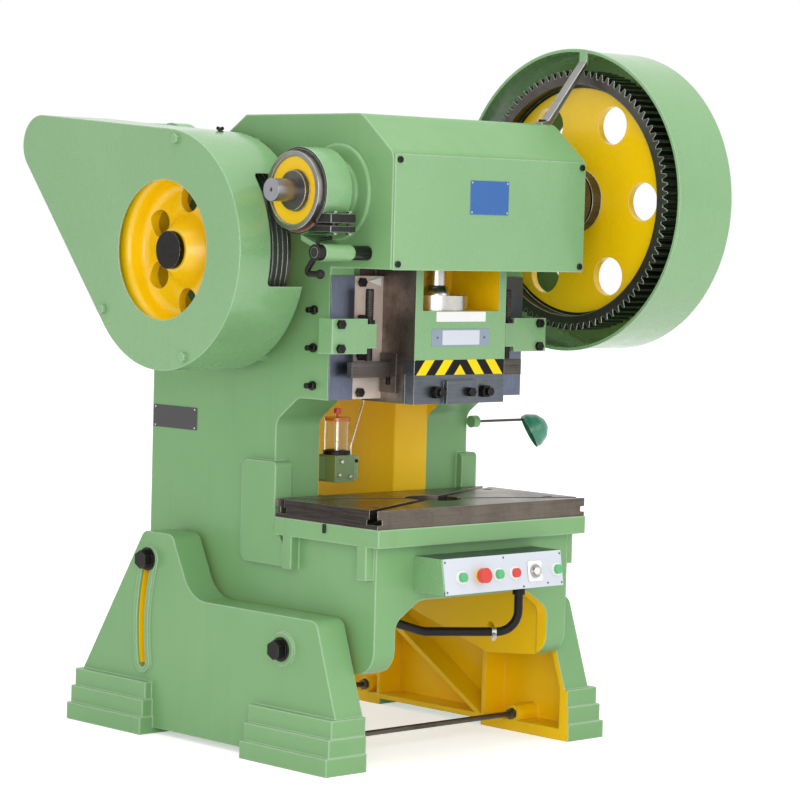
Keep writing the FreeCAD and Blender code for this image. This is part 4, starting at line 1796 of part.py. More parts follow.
# ------------------------------------------------------------------ checks and files
doc.recompute()
os.makedirs("parts", exist_ok=True)
for feature in doc.Objects:
    if "Invalid" in feature.State or "Error" in feature.State:
        raise RuntimeError(f"{feature.Name} ({feature.Label}) could not be made: {feature.State}")
for feature in pieces:
    if feature.Shape.isNull() or not feature.Shape.isValid() or not feature.Shape.Solids:
        raise RuntimeError(f"{feature.Label} has no valid solid")
    feature.Shape.exportStep(f"parts/{feature.Label}.step")
    box = feature.Shape.BoundBox
    print(f"{feature.Label:24s} {feature.Shape.Volume / 1e6:9.3f} dm3  "
          f"solids {len(feature.Shape.Solids):3d}  x {box.XMin:8.1f} {box.XMax:8.1f}  "
          f"y {box.YMin:8.1f} {box.YMax:8.1f}  z {box.ZMin:8.1f} {box.ZMax:8.1f}")
print(f"{len(pieces)} pieces")
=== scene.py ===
"""Looks of an open-fronted stamping press: paint, machined iron, plates and small trim on its frame."""

from __future__ import annotations

import json
import logging
import math
from dataclasses import dataclass
from enum import Enum
from functools import reduce

import bmesh
import bpy
from mathutils import Matrix, Vector

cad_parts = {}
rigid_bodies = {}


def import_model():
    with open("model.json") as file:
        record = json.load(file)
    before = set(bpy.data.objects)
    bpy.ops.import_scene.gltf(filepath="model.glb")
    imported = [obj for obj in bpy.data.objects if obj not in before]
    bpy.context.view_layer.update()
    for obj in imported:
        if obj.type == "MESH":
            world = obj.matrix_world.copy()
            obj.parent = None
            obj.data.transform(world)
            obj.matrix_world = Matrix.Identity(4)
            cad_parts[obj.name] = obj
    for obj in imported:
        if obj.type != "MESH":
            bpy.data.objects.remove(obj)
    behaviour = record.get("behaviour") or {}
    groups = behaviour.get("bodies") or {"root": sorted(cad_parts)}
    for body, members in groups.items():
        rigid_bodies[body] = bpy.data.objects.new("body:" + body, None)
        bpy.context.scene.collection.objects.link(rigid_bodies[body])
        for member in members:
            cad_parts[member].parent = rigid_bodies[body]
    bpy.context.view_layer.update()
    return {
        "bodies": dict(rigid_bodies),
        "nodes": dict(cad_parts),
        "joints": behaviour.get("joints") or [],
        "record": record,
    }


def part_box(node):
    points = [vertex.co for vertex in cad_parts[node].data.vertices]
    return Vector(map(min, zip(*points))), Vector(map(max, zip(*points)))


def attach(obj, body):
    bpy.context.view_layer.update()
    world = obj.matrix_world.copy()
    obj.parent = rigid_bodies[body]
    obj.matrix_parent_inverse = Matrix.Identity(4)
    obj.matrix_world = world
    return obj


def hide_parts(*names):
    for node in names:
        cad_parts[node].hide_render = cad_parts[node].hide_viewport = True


LOG = logging.getLogger("press")
# How far behind the ram axis the origin of the row frame lies, in metres.
SETBACK = 0.38925
Point = tuple[float, float, float]
Socket = bpy.types.NodeSocket
# What a layer's group puts out, then colours as read off, 0 to 255, and linear ones.
LAYER_OUTPUTS = {"Colour": "Color", "Roughness": "Float", "Height": "Float"}
DUST_TONE, SPECK_TONE, LINE_TONE = (112, 108, 84), (60, 60, 50), (225, 222, 214)
# PAINTED_EDGE_HIGHLIGHT is the pale green of the painted highlight along edges; WHITE_LIGHT is the white of
# the floor's glow and the sky.
PAINTED_EDGE_HIGHLIGHT, WHITE_LIGHT = (0.46, 0.56, 0.44, 1.0), (1.0, 1.0, 1.0, 1.0)
LEFT, RIGHT, FRONT, BACK = (-1.0, 0.0, 0.0), (1.0, 0.0, 0.0), (0.0, -1.0, 0.0), (0.0, 1.0, 0.0)
DOWN, UP = (0.0, 0.0, -1.0), (0.0, 0.0, 1.0)


def row(x: float, y: float, z: float) -> Vector:
    """A place in the row frame from millimetres, where y is measured behind the ram axis."""
    return Vector((x / 1000, y / 1000 - SETBACK, z / 1000))


def linear(shown: tuple[float, ...]) -> tuple[float, float, float, float]:
    """A colour read off as 0 to 255, as the shader's linear values."""
    parts = [((c / 255 + 0.055) / 1.055) ** 2.4 if c > 10 else c / 255 / 12.92 for c in shown]
    return (*parts, 1.0)


class Graph:
    """Short calls that add and join the nodes of one tree."""

    def __init__(self, tree: bpy.types.NodeTree) -> None:
        """Take the tree that is filled."""
        self.tree = tree

    def add(self, kind: str, settings: dict | None = None, feeds: dict | None = None) -> bpy.types.Node:
        """Add a node.

        Args:
            kind: The node's type name.
            settings: Its properties by name.
            feeds: What its inputs get, by name or number: a value or a socket.

        Returns:
            The new node.
        """
        node = self.tree.nodes.new(kind)
        for name, value in (settings or {}).items():
            setattr(node, name, value)
        for name, value in (feeds or {}).items():
            target = node.inputs[name]
            if isinstance(value, Socket):
                self.tree.links.new(value, target)
            else:
                target.default_value = value
        return node

    def sum(self, operation: str, first: object, second: object = 0.0, clamp: bool = False) -> Socket:
        """The result of a Math node."""
        kind = "ShaderNodeMath"
        return self.add(kind, {"operation": operation, "use_clamp": clamp}, {0: first, 1: second}).outputs[0]

    def times(self, first: object, second: object) -> Socket:
        """Two numbers multiplied."""
        return self.sum("MULTIPLY", first, second)

    def fold(self, operation: str, numbers: list[Socket]) -> Socket:
        """Several numbers brought down to one by a Math node between each two."""
        return reduce(lambda first, second: self.sum(operation, first, second), numbers)

    def vector(self, operation: str, first: object, second: object = (0.0, 0.0, 0.0)) -> Socket:
        """The result of a Vector Math node."""
        node = self.add("ShaderNodeVectorMath", {"operation": operation}, {0: first, 1: second})
        return node.outputs["Value" if operation in ("DOT_PRODUCT", "LENGTH") else "Vector"]

    def blend(self, factor: object, first: object, second: object, operation: str = "MIX") -> Socket:
        """Two colours mixed by a factor."""
        settings = {"data_type": "RGBA", "blend_type": operation}
        return self.add("ShaderNodeMix", settings, {0: factor, 6: first, 7: second}).outputs[2]

    def level(self, factor: object, first: object, second: object) -> Socket:
        """Two numbers mixed by a factor."""
        return self.add("ShaderNodeMix", {"data_type": "FLOAT"}, {0: factor, 2: first, 3: second}).outputs[0]

    def noise(self, place: Socket, scale: object, detail: float = 2.0, rough: float = 0.5) -> Socket:
        """A noise value at a place."""
        feeds = {"Vector": place, "Scale": scale, "Detail": detail, "Roughness": rough}
        return self.add("ShaderNodeTexNoise", None, feeds).outputs[0]

    def ramp(self, value: object, low: float, high: float, to_low: float = 0.0,
             to_high: float = 1.0) -> Socket:
        """A value stretched between two ends and held there."""
        feeds = {"Value": value, 1: low, 2: high, 3: to_low, 4: to_high}
        return self.add("ShaderNodeMapRange", {"clamp": True}, feeds).outputs[0]

    def apart(self, place: Socket) -> bpy.types.NodeOutputs:
        """The three numbers of a vector."""
        return self.add("ShaderNodeSeparateXYZ", None, {0: place}).outputs

    def group(self, tree: bpy.types.NodeTree, feeds: dict) -> bpy.types.NodeOutputs:
        """What a shared group gives for these inputs."""
        return self.add("ShaderNodeGroup", {"node_tree": tree}, feeds).outputs

    def bump(self, strength: float, height: Socket, normal: Socket | None = None) -> Socket:
        """A normal turned by a relief of up to a millimetre.

        Args:
            strength: How strongly it shows.
            height: The relief.
            normal: The normal that it starts from, if not the surface's own.

        Returns:
            The turned normal.
        """
        feeds = {"Strength": strength, "Distance": 0.001, "Height": height}
        if normal is not None:
            feeds["Normal"] = normal
        return self.add("ShaderNodeBump", None, feeds).outputs[0]

    def surface(self, feeds: dict) -> None:
        """End a material with a Principled surface."""
        body = self.add("ShaderNodeBsdfPrincipled", None, feeds).outputs[0]
        self.add("ShaderNodeOutputMaterial", None, {"Surface": body})


def shader_group(name: str, inputs: dict[str, tuple[str, object]], outputs: dict[str, str]) -> tuple:
    """Start a shader node group.

    Args:
        name: The group's name.
        inputs: Socket kind and starting value by name.
        outputs: Socket kind by name.

    Returns:
        The group, its graph and the sockets of its inputs.
    """
    tree = bpy.data.node_groups.new(name, "ShaderNodeTree")
    for label, (kind, value) in inputs.items():
        socket = tree.interface.new_socket(label, in_out="INPUT", socket_type=f"NodeSocket{kind}")
        socket.default_value = value
    for label, kind in outputs.items():
        tree.interface.new_socket(label, in_out="OUTPUT", socket_type=f"NodeSocket{kind}")
    graph = Graph(tree)
    return tree, graph, graph.add("NodeGroupInput").outputs


def start_material(name: str) -> tuple[bpy.types.Material, Graph]:
    """A new empty material and its graph.

    Args:
        name: The material's name.

    Returns:
        The material, and the graph that fills it.
    """
    material = bpy.data.materials.new(name)
    material.use_nodes = True
    material.node_tree.nodes.clear()
    return material, Graph(material.node_tree)


def here(graph: Graph) -> Socket:
    """The place on the piece, in metres."""
    return graph.add("ShaderNodeTexCoord").outputs["Object"]


def zone_group() -> bpy.types.NodeTree:
    """A mask that is 1 inside a box that is the same on both sides of the ram plane.

    Returns:
        The group, which puts out the mask.
    """
    tree, graph, given = shader_group(
        "press_zone", {"Low": ("Vector", (0.0, 0.0, 0.0)), "High": ("Vector", (1.0, 1.0, 1.0)),
                       "Edge": ("Float", 0.001)}, {"Mask": "Float"})
    place, low, high = (graph.apart(socket) for socket in (here(graph), given["Low"], given["High"]))
    inside = []
    for axis in range(3):
        at = graph.sum("ABSOLUTE", place[axis]) if axis == 0 else place[axis]
        inside += [graph.sum("SUBTRACT", at, low[axis]), graph.sum("SUBTRACT", high[axis], at)]
    scaled = graph.sum("DIVIDE", graph.fold("MINIMUM", inside), given["Edge"])
    graph.add("NodeGroupOutput", None, {"Mask": graph.sum("ADD", scaled, 0.5, clamp=True)})
    return tree


def facing_group() -> bpy.types.NodeTree:
    """A mask that is 1 where the surface faces a direction; X is mirrored at the ram plane.

    Returns:
        The group, which puts out the mask.
    """
    tree, graph, given = shader_group(
        "press_facing", {"Direction": ("Vector", UP), "From": ("Float", 0.5)}, {"Mask": "Float"})
    coords = graph.add("ShaderNodeTexCoord").outputs
    side = graph.sum("SIGN", graph.apart(coords["Object"])[0])
    turn = graph.add("ShaderNodeCombineXYZ", None, {0: side, 1: 1.0, 2: 1.0}).outputs[0]
    outward = graph.vector("MULTIPLY", coords["Normal"], turn)
    along = graph.vector("DOT_PRODUCT", outward, given["Direction"])
    graph.add("NodeGroupOutput", None, {"Mask": graph.sum("GREATER_THAN", along, given["From"])})
    return tree


def edge_group() -> bpy.types.NodeTree:
    """Softly rounded edges: the turned normal, and a mask of the edges.

    Returns:
        The group, which puts out the normal and the mask.
    """
    tree, graph, given = shader_group(
        "press_edges", {"Radius": ("Float", 0.003)}, {"Normal": "Vector", "Edge": "Float"})
    soft = graph.add("ShaderNodeBevel", {"samples": 4}, {"Radius": given["Radius"]}).outputs[0]
    flat = graph.add("ShaderNodeNewGeometry").outputs["Normal"]
    together = graph.vector("DOT_PRODUCT", soft, flat)
    graph.add("NodeGroupOutput", None, {"Normal": soft, "Edge": graph.ramp(together, 0.97, 0.80)})
    return tree


def enamel_group() -> bpy.types.NodeTree:
    """Sprayed enamel over filled castings: cloudy tone, soft dents, runs of dust and a fine skin.

    Returns:
        The group, which puts out colour, roughness and height.
    """
    tree, graph, given = shader_group(
        "press_enamel",
        {"Colour": ("Color", (0.3, 0.5, 0.3, 1)), "Shade": ("Color", (0.2, 0.4, 0.2, 1)),
         "Dust": ("Float", 0.15), "Skin": ("Float", 0.5), "Gloss": ("Float", 0.3)}, LAYER_OUTPUTS)
    place = here(graph)
    cloud = graph.ramp(graph.noise(place, 2.3, 4.0, 0.55), 0.32, 0.72)
    fine = graph.ramp(graph.noise(place, 17.0, 3.0), 0.3, 0.75)
    tone = graph.blend(graph.times(cloud, 0.55), given["Colour"], given["Shade"])
    tone = graph.blend(graph.times(fine, 0.16), tone, given["Shade"])
    run = graph.noise(graph.vector("MULTIPLY", place, (24.0, 24.0, 1.6)), 1.0, 4.0, 0.6)
    run = graph.times(graph.ramp(run, 0.56, 0.8), given["Dust"])
    tone = graph.blend(run, tone, linear(DUST_TONE))
    speck = graph.ramp(graph.noise(place, 340.0, 1.0), 0.74, 0.8)
    tone = graph.blend(graph.times(speck, 0.12), tone, linear(SPECK_TONE))
    dent = graph.noise(place, 7.5, 2.0)
    skin = graph.noise(place, 260.0, 2.0, 0.6)
    height = graph.sum("ADD", graph.times(dent, 1.6), graph.times(skin, graph.times(given["Skin"], 0.12)))
    rough = graph.sum("ADD", given["Gloss"], graph.times(graph.ramp(fine, 0.2, 0.9), 0.1))
    rough = graph.sum("ADD", rough, graph.times(run, 0.5), clamp=True)
    graph.add("NodeGroupOutput", None, {"Colour": tone, "Roughness": rough, "Height": height})
    return tree


def metal_group() -> bpy.types.NodeTree:
    """Worked metal: cutter lines along one direction, oily stains and scattered scratches.

    Returns:
        The group, which puts out colour, roughness and height.
    """
    tree, graph, given = shader_group(
        "press_metal",
        {"Colour": ("Color", (0.5, 0.5, 0.5, 1)), "Stain": ("Color", (0.1, 0.08, 0.06, 1)),
         "Stains": ("Float", 0.4), "Stretch": ("Vector", (4.0, 300.0, 300.0)), "Polish": ("Float", 0.3),
         "Lines": ("Float", 0.5)}, LAYER_OUTPUTS)
    place = here(graph)
    drawn = graph.vector("MULTIPLY", place, given["Stretch"])
    lines, scratch = graph.noise(drawn, 1.0, 3.0, 0.6), graph.noise(drawn, 3.1, 1.0)
    cloud = graph.ramp(graph.noise(place, 9.0, 5.0, 0.62), 0.38, 0.7)
    spots = graph.ramp(graph.noise(place, 46.0, 3.0, 0.6), 0.5, 0.75)
    soiled = graph.sum("ADD", cloud, graph.times(spots, 0.4))
    stain = graph.sum("MULTIPLY", soiled, given["Stains"], clamp=True)
    tone = graph.blend(stain, given["Colour"], given["Stain"])
    share = graph.times(given["Lines"], 0.5)
    tone = graph.blend(graph.times(graph.ramp(lines, 0.35, 0.7), share), tone, linear(LINE_TONE))
    rough = graph.sum("ADD", given["Polish"], graph.times(stain, 0.2))
    rough = graph.sum("ADD", rough, graph.times(graph.ramp(lines, 0.3, 0.7), 0.08), clamp=True)
    height = graph.times(graph.sum("ADD", lines, graph.times(scratch, 0.5)), given["Lines"])
    graph.add("NodeGroupOutput", None, {"Colour": tone, "Roughness": rough, "Height": height})
    return tree


class Groups:
    """The shared shader node groups, each built once."""

    zone: bpy.types.NodeTree
    facing: bpy.types.NodeTree
    edges: bpy.types.NodeTree
    enamel: bpy.types.NodeTree
    metal: bpy.types.NodeTree

    @classmethod
    def build(cls) -> None:
        """Build every group."""
        cls.zone, cls.facing, cls.edges = zone_group(), facing_group(), edge_group()
        cls.enamel, cls.metal = enamel_group(), metal_group()


@dataclass(frozen=True)
class Channels:
    """What one layer gives to a material."""

    colour: Socket
    roughness: Socket
    height: Socket
    metallic: float


@dataclass(frozen=True)
class Enamel:
    """A sprayed paint; its colours are as read off, 0 to 255."""

    colour: Point
    shade: Point
    dust: float = 0.2
    skin: float = 0.5
    gloss: float = 0.3
    # How strongly the painted edge highlight shows on this layer.
    highlight_rim: float = 1.0

    def lay(self, graph: Graph) -> Channels:
        """Place the enamel group in a material and read its outputs.

        Args:
            graph: The material's graph.

        Returns:
            What the layer gives.
        """
        out = graph.group(Groups.enamel, {
            "Colour": linear(self.colour), "Shade": linear(self.shade), "Dust": self.dust,
            "Skin": self.skin, "Gloss": self.gloss})
        return Channels(out["Colour"], out["Roughness"], out["Height"], 0.0)


@dataclass(frozen=True)
class Metal:
    """A worked or cast metal; its colours are as read off, 0 to 255."""

    colour: Point
    stain: Point
    stains: float = 0.4
    stretch: Point = (4.0, 300.0, 300.0)
    polish: float = 0.3
    lines: float = 0.15
    metallic: float = 1.0
    # How strongly the painted edge highlight shows on this layer.
    highlight_rim: float = 1.0

    def lay(self, graph: Graph) -> Channels:
        """Place the metal group in a material and read its outputs.

        Args:
            graph: The material's graph.

        Returns:
            What the layer gives.
        """
        out = graph.group(Groups.metal, {
            "Colour": linear(self.colour), "Stain": linear(self.stain), "Stains": self.stains,
            "Stretch": self.stretch, "Polish": self.polish, "Lines": self.lines})
        return Channels(out["Colour"], out["Roughness"], out["Height"], self.metallic)


@dataclass(frozen=True)
class Zone:
    """A box on both sides of the ram plane, or only what faces one way in it.

    Args:
        low: Its lowest corner in millimetres, y behind the ram axis.
        high: Its highest corner.
        facing: The way that a surface has to face, if not any.
        at_least: How squarely it has to.
    """

    low: Point
    high: Point
    facing: Point | None = None
    at_least: float = 0.5

    def mask(self, graph: Graph) -> Socket:
        """Build this zone's mask in a material.

        Args:
            graph: The material's graph.

        Returns:
            The mask, 1 inside.
        """
        mask = graph.group(Groups.zone, {"Low": row(*self.low), "High": row(*self.high)})["Mask"]
        if self.facing is None:
            return mask
        facing = graph.group(Groups.facing, {"Direction": self.facing, "From": self.at_least})["Mask"]
        return graph.times(mask, facing)


@dataclass(frozen=True)
class Ring:
    """A span of distance from an axis along X, in millimetres, y behind the ram axis."""

    y: float
    z: float
    inner: float
    outer: float

    def mask(self, graph: Graph) -> Socket:
        """Build this ring's mask in a material.

        Args:
            graph: The material's graph.

        Returns:
            The mask, 1 inside.
        """
        away = graph.vector("SUBTRACT", here(graph), row(0.0, self.y, self.z))
        away = graph.vector("LENGTH", graph.vector("MULTIPLY", away, (0.0, 1.0, 1.0)))
        inside = graph.sum("GREATER_THAN", away, self.inner / 1000)
        return graph.times(inside, graph.sum("LESS_THAN", away, self.outer / 1000))


@dataclass(frozen=True)
class Wedge:
    """The room between flat bounds, the same on both sides of the ram plane.

    Args:
        bounds: For each bound, its outward direction over X, Y and Z and how far along it the room
            reaches, in millimetres, y behind the ram axis.
    """

    bounds: tuple[tuple[float, float, float, float], ...]

    def mask(self, graph: Graph) -> Socket:
        """Build this room's mask in a material.

        Args:
            graph: The material's graph.

        Returns:
            The mask, 1 inside.
        """
        apart = graph.apart(here(graph))
        feeds = {0: graph.sum("ABSOLUTE", apart[0]), 1: apart[1], 2: apart[2]}
        place = graph.add("ShaderNodeCombineXYZ", None, feeds).outputs[0]
        left = []
        for x, y, z, reach in self.bounds:
            along = graph.vector("DOT_PRODUCT", place, (x, y, z))
            left.append(graph.sum("SUBTRACT", reach / 1000 - y * SETBACK, along))
        return graph.sum("GREATER_THAN", graph.fold("MINIMUM", left), 0.0)


@dataclass(frozen=True)
class Half:
    """One side of the ram plane: 1 is the right, -1 the left."""

    side: float

    def mask(self, graph: Graph) -> Socket:
        """Build this side's mask in a material."""
        return graph.sum("GREATER_THAN", graph.times(graph.apart(here(graph))[0], self.side), 0.0)


@dataclass(frozen=True)
class Both:
    """Where two masks are both filled."""

    first: object
    second: object

    def mask(self, graph: Graph) -> Socket:
        """Build the common mask in a material."""
        return graph.times(self.first.mask(graph), self.second.mask(graph))


def side_line(first: tuple[float, float], second: tuple[float, float], out: float) -> tuple:
    """A bound through two places (y, z), moved out to the right of the way from one to the other.

    Args:
        first: Where the line starts.
        second: Where it goes to.
        out: How far it is moved, in millimetres.

    Returns:
        The bound: its outward direction and its reach along that.
    """
    y, z = second[0] - first[0], second[1] - first[1]
    long = math.hypot(y, z)
    return 0.0, z / long, -y / long, (z * first[0] - y * first[1]) / long + out


@dataclass(frozen=True)
class Finish:
    """A material: a base layer, and others where their zones say.

    Args:
        name: The material's name.
        base: The layer that covers everything.
        over: Later layers, each with the zones that it fills.
        edge: Radius over which sharp edges are softened, in metres.
        bump: Strength of the surface's relief.
        coat: Weight of the clear skin over the colour.
        edge_tone: Colour of a painted highlight that shows thinly on edges, as read off; none is a pale green
            painted highlight.
        edge_share: How much of the painted highlight shows.
        shine: Strength of the plain reflection.
    """

    name: str
    base: Enamel | Metal
    over: tuple = ()
    edge: float = 0.004
    bump: float = 0.35
    coat: float = 0.3
    edge_tone: Point | None = None
    edge_share: float = 1.0
    shine: float = 0.5

    def material(self) -> bpy.types.Material:
        """The material, made when first asked for.

        Returns:
            The material.
        """
        known = bpy.data.materials.get(self.name)
        if known is not None:
            return known
        material, graph = start_material(self.name)
        laid = self.base.lay(graph)
        colour, rough, height, metallic = laid.colour, laid.roughness, laid.height, laid.metallic
        share = self.edge_share * self.base.highlight_rim
        for layer, zones in self.over:
            mask = graph.fold("MAXIMUM", [zone.mask(graph) for zone in zones])
            top = layer.lay(graph)
            colour = graph.blend(mask, colour, top.colour)
            rough = graph.level(mask, rough, top.roughness)
            height = graph.level(mask, height, top.height)
            if isinstance(metallic, Socket) or metallic != top.metallic:
                metallic = graph.level(mask, metallic, top.metallic)
            if layer.highlight_rim != self.base.highlight_rim:
                share = graph.level(mask, share, self.edge_share * layer.highlight_rim)
        # Painted highlight: a pale colour screened over the colour along the edges, more or less strongly for
        # each layer.
        edges = graph.group(Groups.edges, {"Radius": self.edge})
        tone = linear(self.edge_tone) if self.edge_tone else PAINTED_EDGE_HIGHLIGHT
        colour = graph.blend(graph.times(edges["Edge"], share), colour, tone, "SCREEN")
        graph.surface({
            "Base Color": colour, "Roughness": rough, "Metallic": metallic,
            "Normal": graph.bump(self.bump, height, edges["Normal"]), "Coat Weight": self.coat,
            "Coat Roughness": 0.18, "Specular IOR Level": self.shine})
        return material


def bare(name: str, metal: Metal, edge: float = 0.001, **more: object) -> Finish:
    """A finish of unpainted metal."""
    return Finish(name, metal, coat=0.0, edge=edge, **more)


def moulded(name: str, colour: Point, shade: Point, dust: float = 0.02, gloss: float = 0.25,
            edge: float = 0.0008, **more: object) -> Finish:
    """A finish of smooth plastic or fine lacquer."""
    return Finish(name, Enamel(colour, shade, dust=dust, skin=0.2, gloss=gloss), edge=edge, **more)


# Stretches of the cutter lines, long where the number is small.
CUT_ACROSS, CUT_UPRIGHT = (9.0, 400.0, 400.0), (400.0, 400.0, 9.0)
GROUND_ACROSS, GROUND_BACK = (9.0, 420.0, 420.0), (420.0, 9.0, 420.0)
GREEN_COAT = Enamel((126, 170, 115), (112, 158, 105), dust=0.12)
SMOOTH_COAT = Enamel((129, 172, 120), (116, 161, 110), dust=0.06, skin=0.3, gloss=0.22)
YELLOW_COAT = Enamel((255, 212, 0), (255, 196, 0), dust=0.03, gloss=0.26)
# The inside coat shows little of the painted edge highlight.
INSIDE_COAT = Enamel((255, 214, 0), (255, 198, 0), dust=0.03, gloss=0.42, highlight_rim=0.12)
BLACK_STRIPE = Enamel((14, 13, 13), (18, 17, 17), dust=0.02, gloss=0.3)
YELLOW_STRIPE = Enamel((240, 216, 12), (228, 200, 8), dust=0.04, gloss=0.3)
IRON_FACE = Metal((176, 168, 156), (96, 82, 70), stains=0.45, polish=0.32)
DARK_FACE = Metal((84, 78, 74), (46, 40, 36), stains=0.5, polish=0.36)
BLACK_FACE = Metal((46, 44, 44), (26, 24, 24), stains=0.4, polish=0.36, lines=0.03)
TABLE_TOP = Metal((126, 116, 106), (84, 74, 66), stains=0.4, stretch=GROUND_BACK, polish=0.24, lines=0.08)
# The table's front and its ends carry darker copies of the top's colour: painted shade on the faces turned
# from the light.
TABLE_FRONT_SHADED = Metal((104, 95, 86), (66, 56, 48), stains=0.5, stretch=GROUND_ACROSS, polish=0.3, lines=0.1)
TABLE_END_SHADED = Metal((52, 46, 43), (30, 25, 23), stains=0.5, stretch=GROUND_BACK, polish=0.34, lines=0.1)
SHAFT_FACE = Metal((150, 150, 156), (120, 116, 112), stains=0.25, stretch=(500.0, 40.0, 40.0), polish=0.26,
                   lines=0.12)
SLIDE_FACE = Metal((124, 112, 104), (62, 48, 42), stains=0.75, stretch=CUT_UPRIGHT, polish=0.3, lines=0.12)
SLIDE_FOOT = Metal((88, 94, 102), (62, 62, 68), stains=0.4, stretch=CUT_ACROSS, polish=0.3, lines=0.1)
# The table's reach, and y and z of the crankshaft, the drive shaft and the tilting pivot.
TABLE_BOX = (-1, -300, 650), (420, 300, 720)
CRANK, DRIVE, SLOT_ARC = (0.0, 1575.0), (404.99, 1403.0), (50.0, 316.0)
# The rooms of a leg's yellow hollows, with the two bounds that they share.
LEG_INNER = (*RIGHT, 484.5)
LEG_BACK = side_line((927, 150), (656, 570), 8.0)
LEG_LOW = Wedge((
    LEG_INNER, (*DOWN, -26.0), (*UP, 400.0), (*FRONT, 158.0), (*BACK, 944.0),
    LEG_BACK, side_line((-66, 392), (-150, 150), 8.0)))
LEG_HIGH = Wedge((
    LEG_INNER, (*UP, 578.0), (*DOWN, -300.0), LEG_BACK, side_line((565, 570), (471, 392), 8.0)))
LEG_SWEEP = Wedge((
    LEG_INNER, (0.0, -0.515, 0.857, 119.4), (*BACK, 560.0), (*FRONT, -395.0), (*DOWN, -380.0), (*UP, 480.0)))
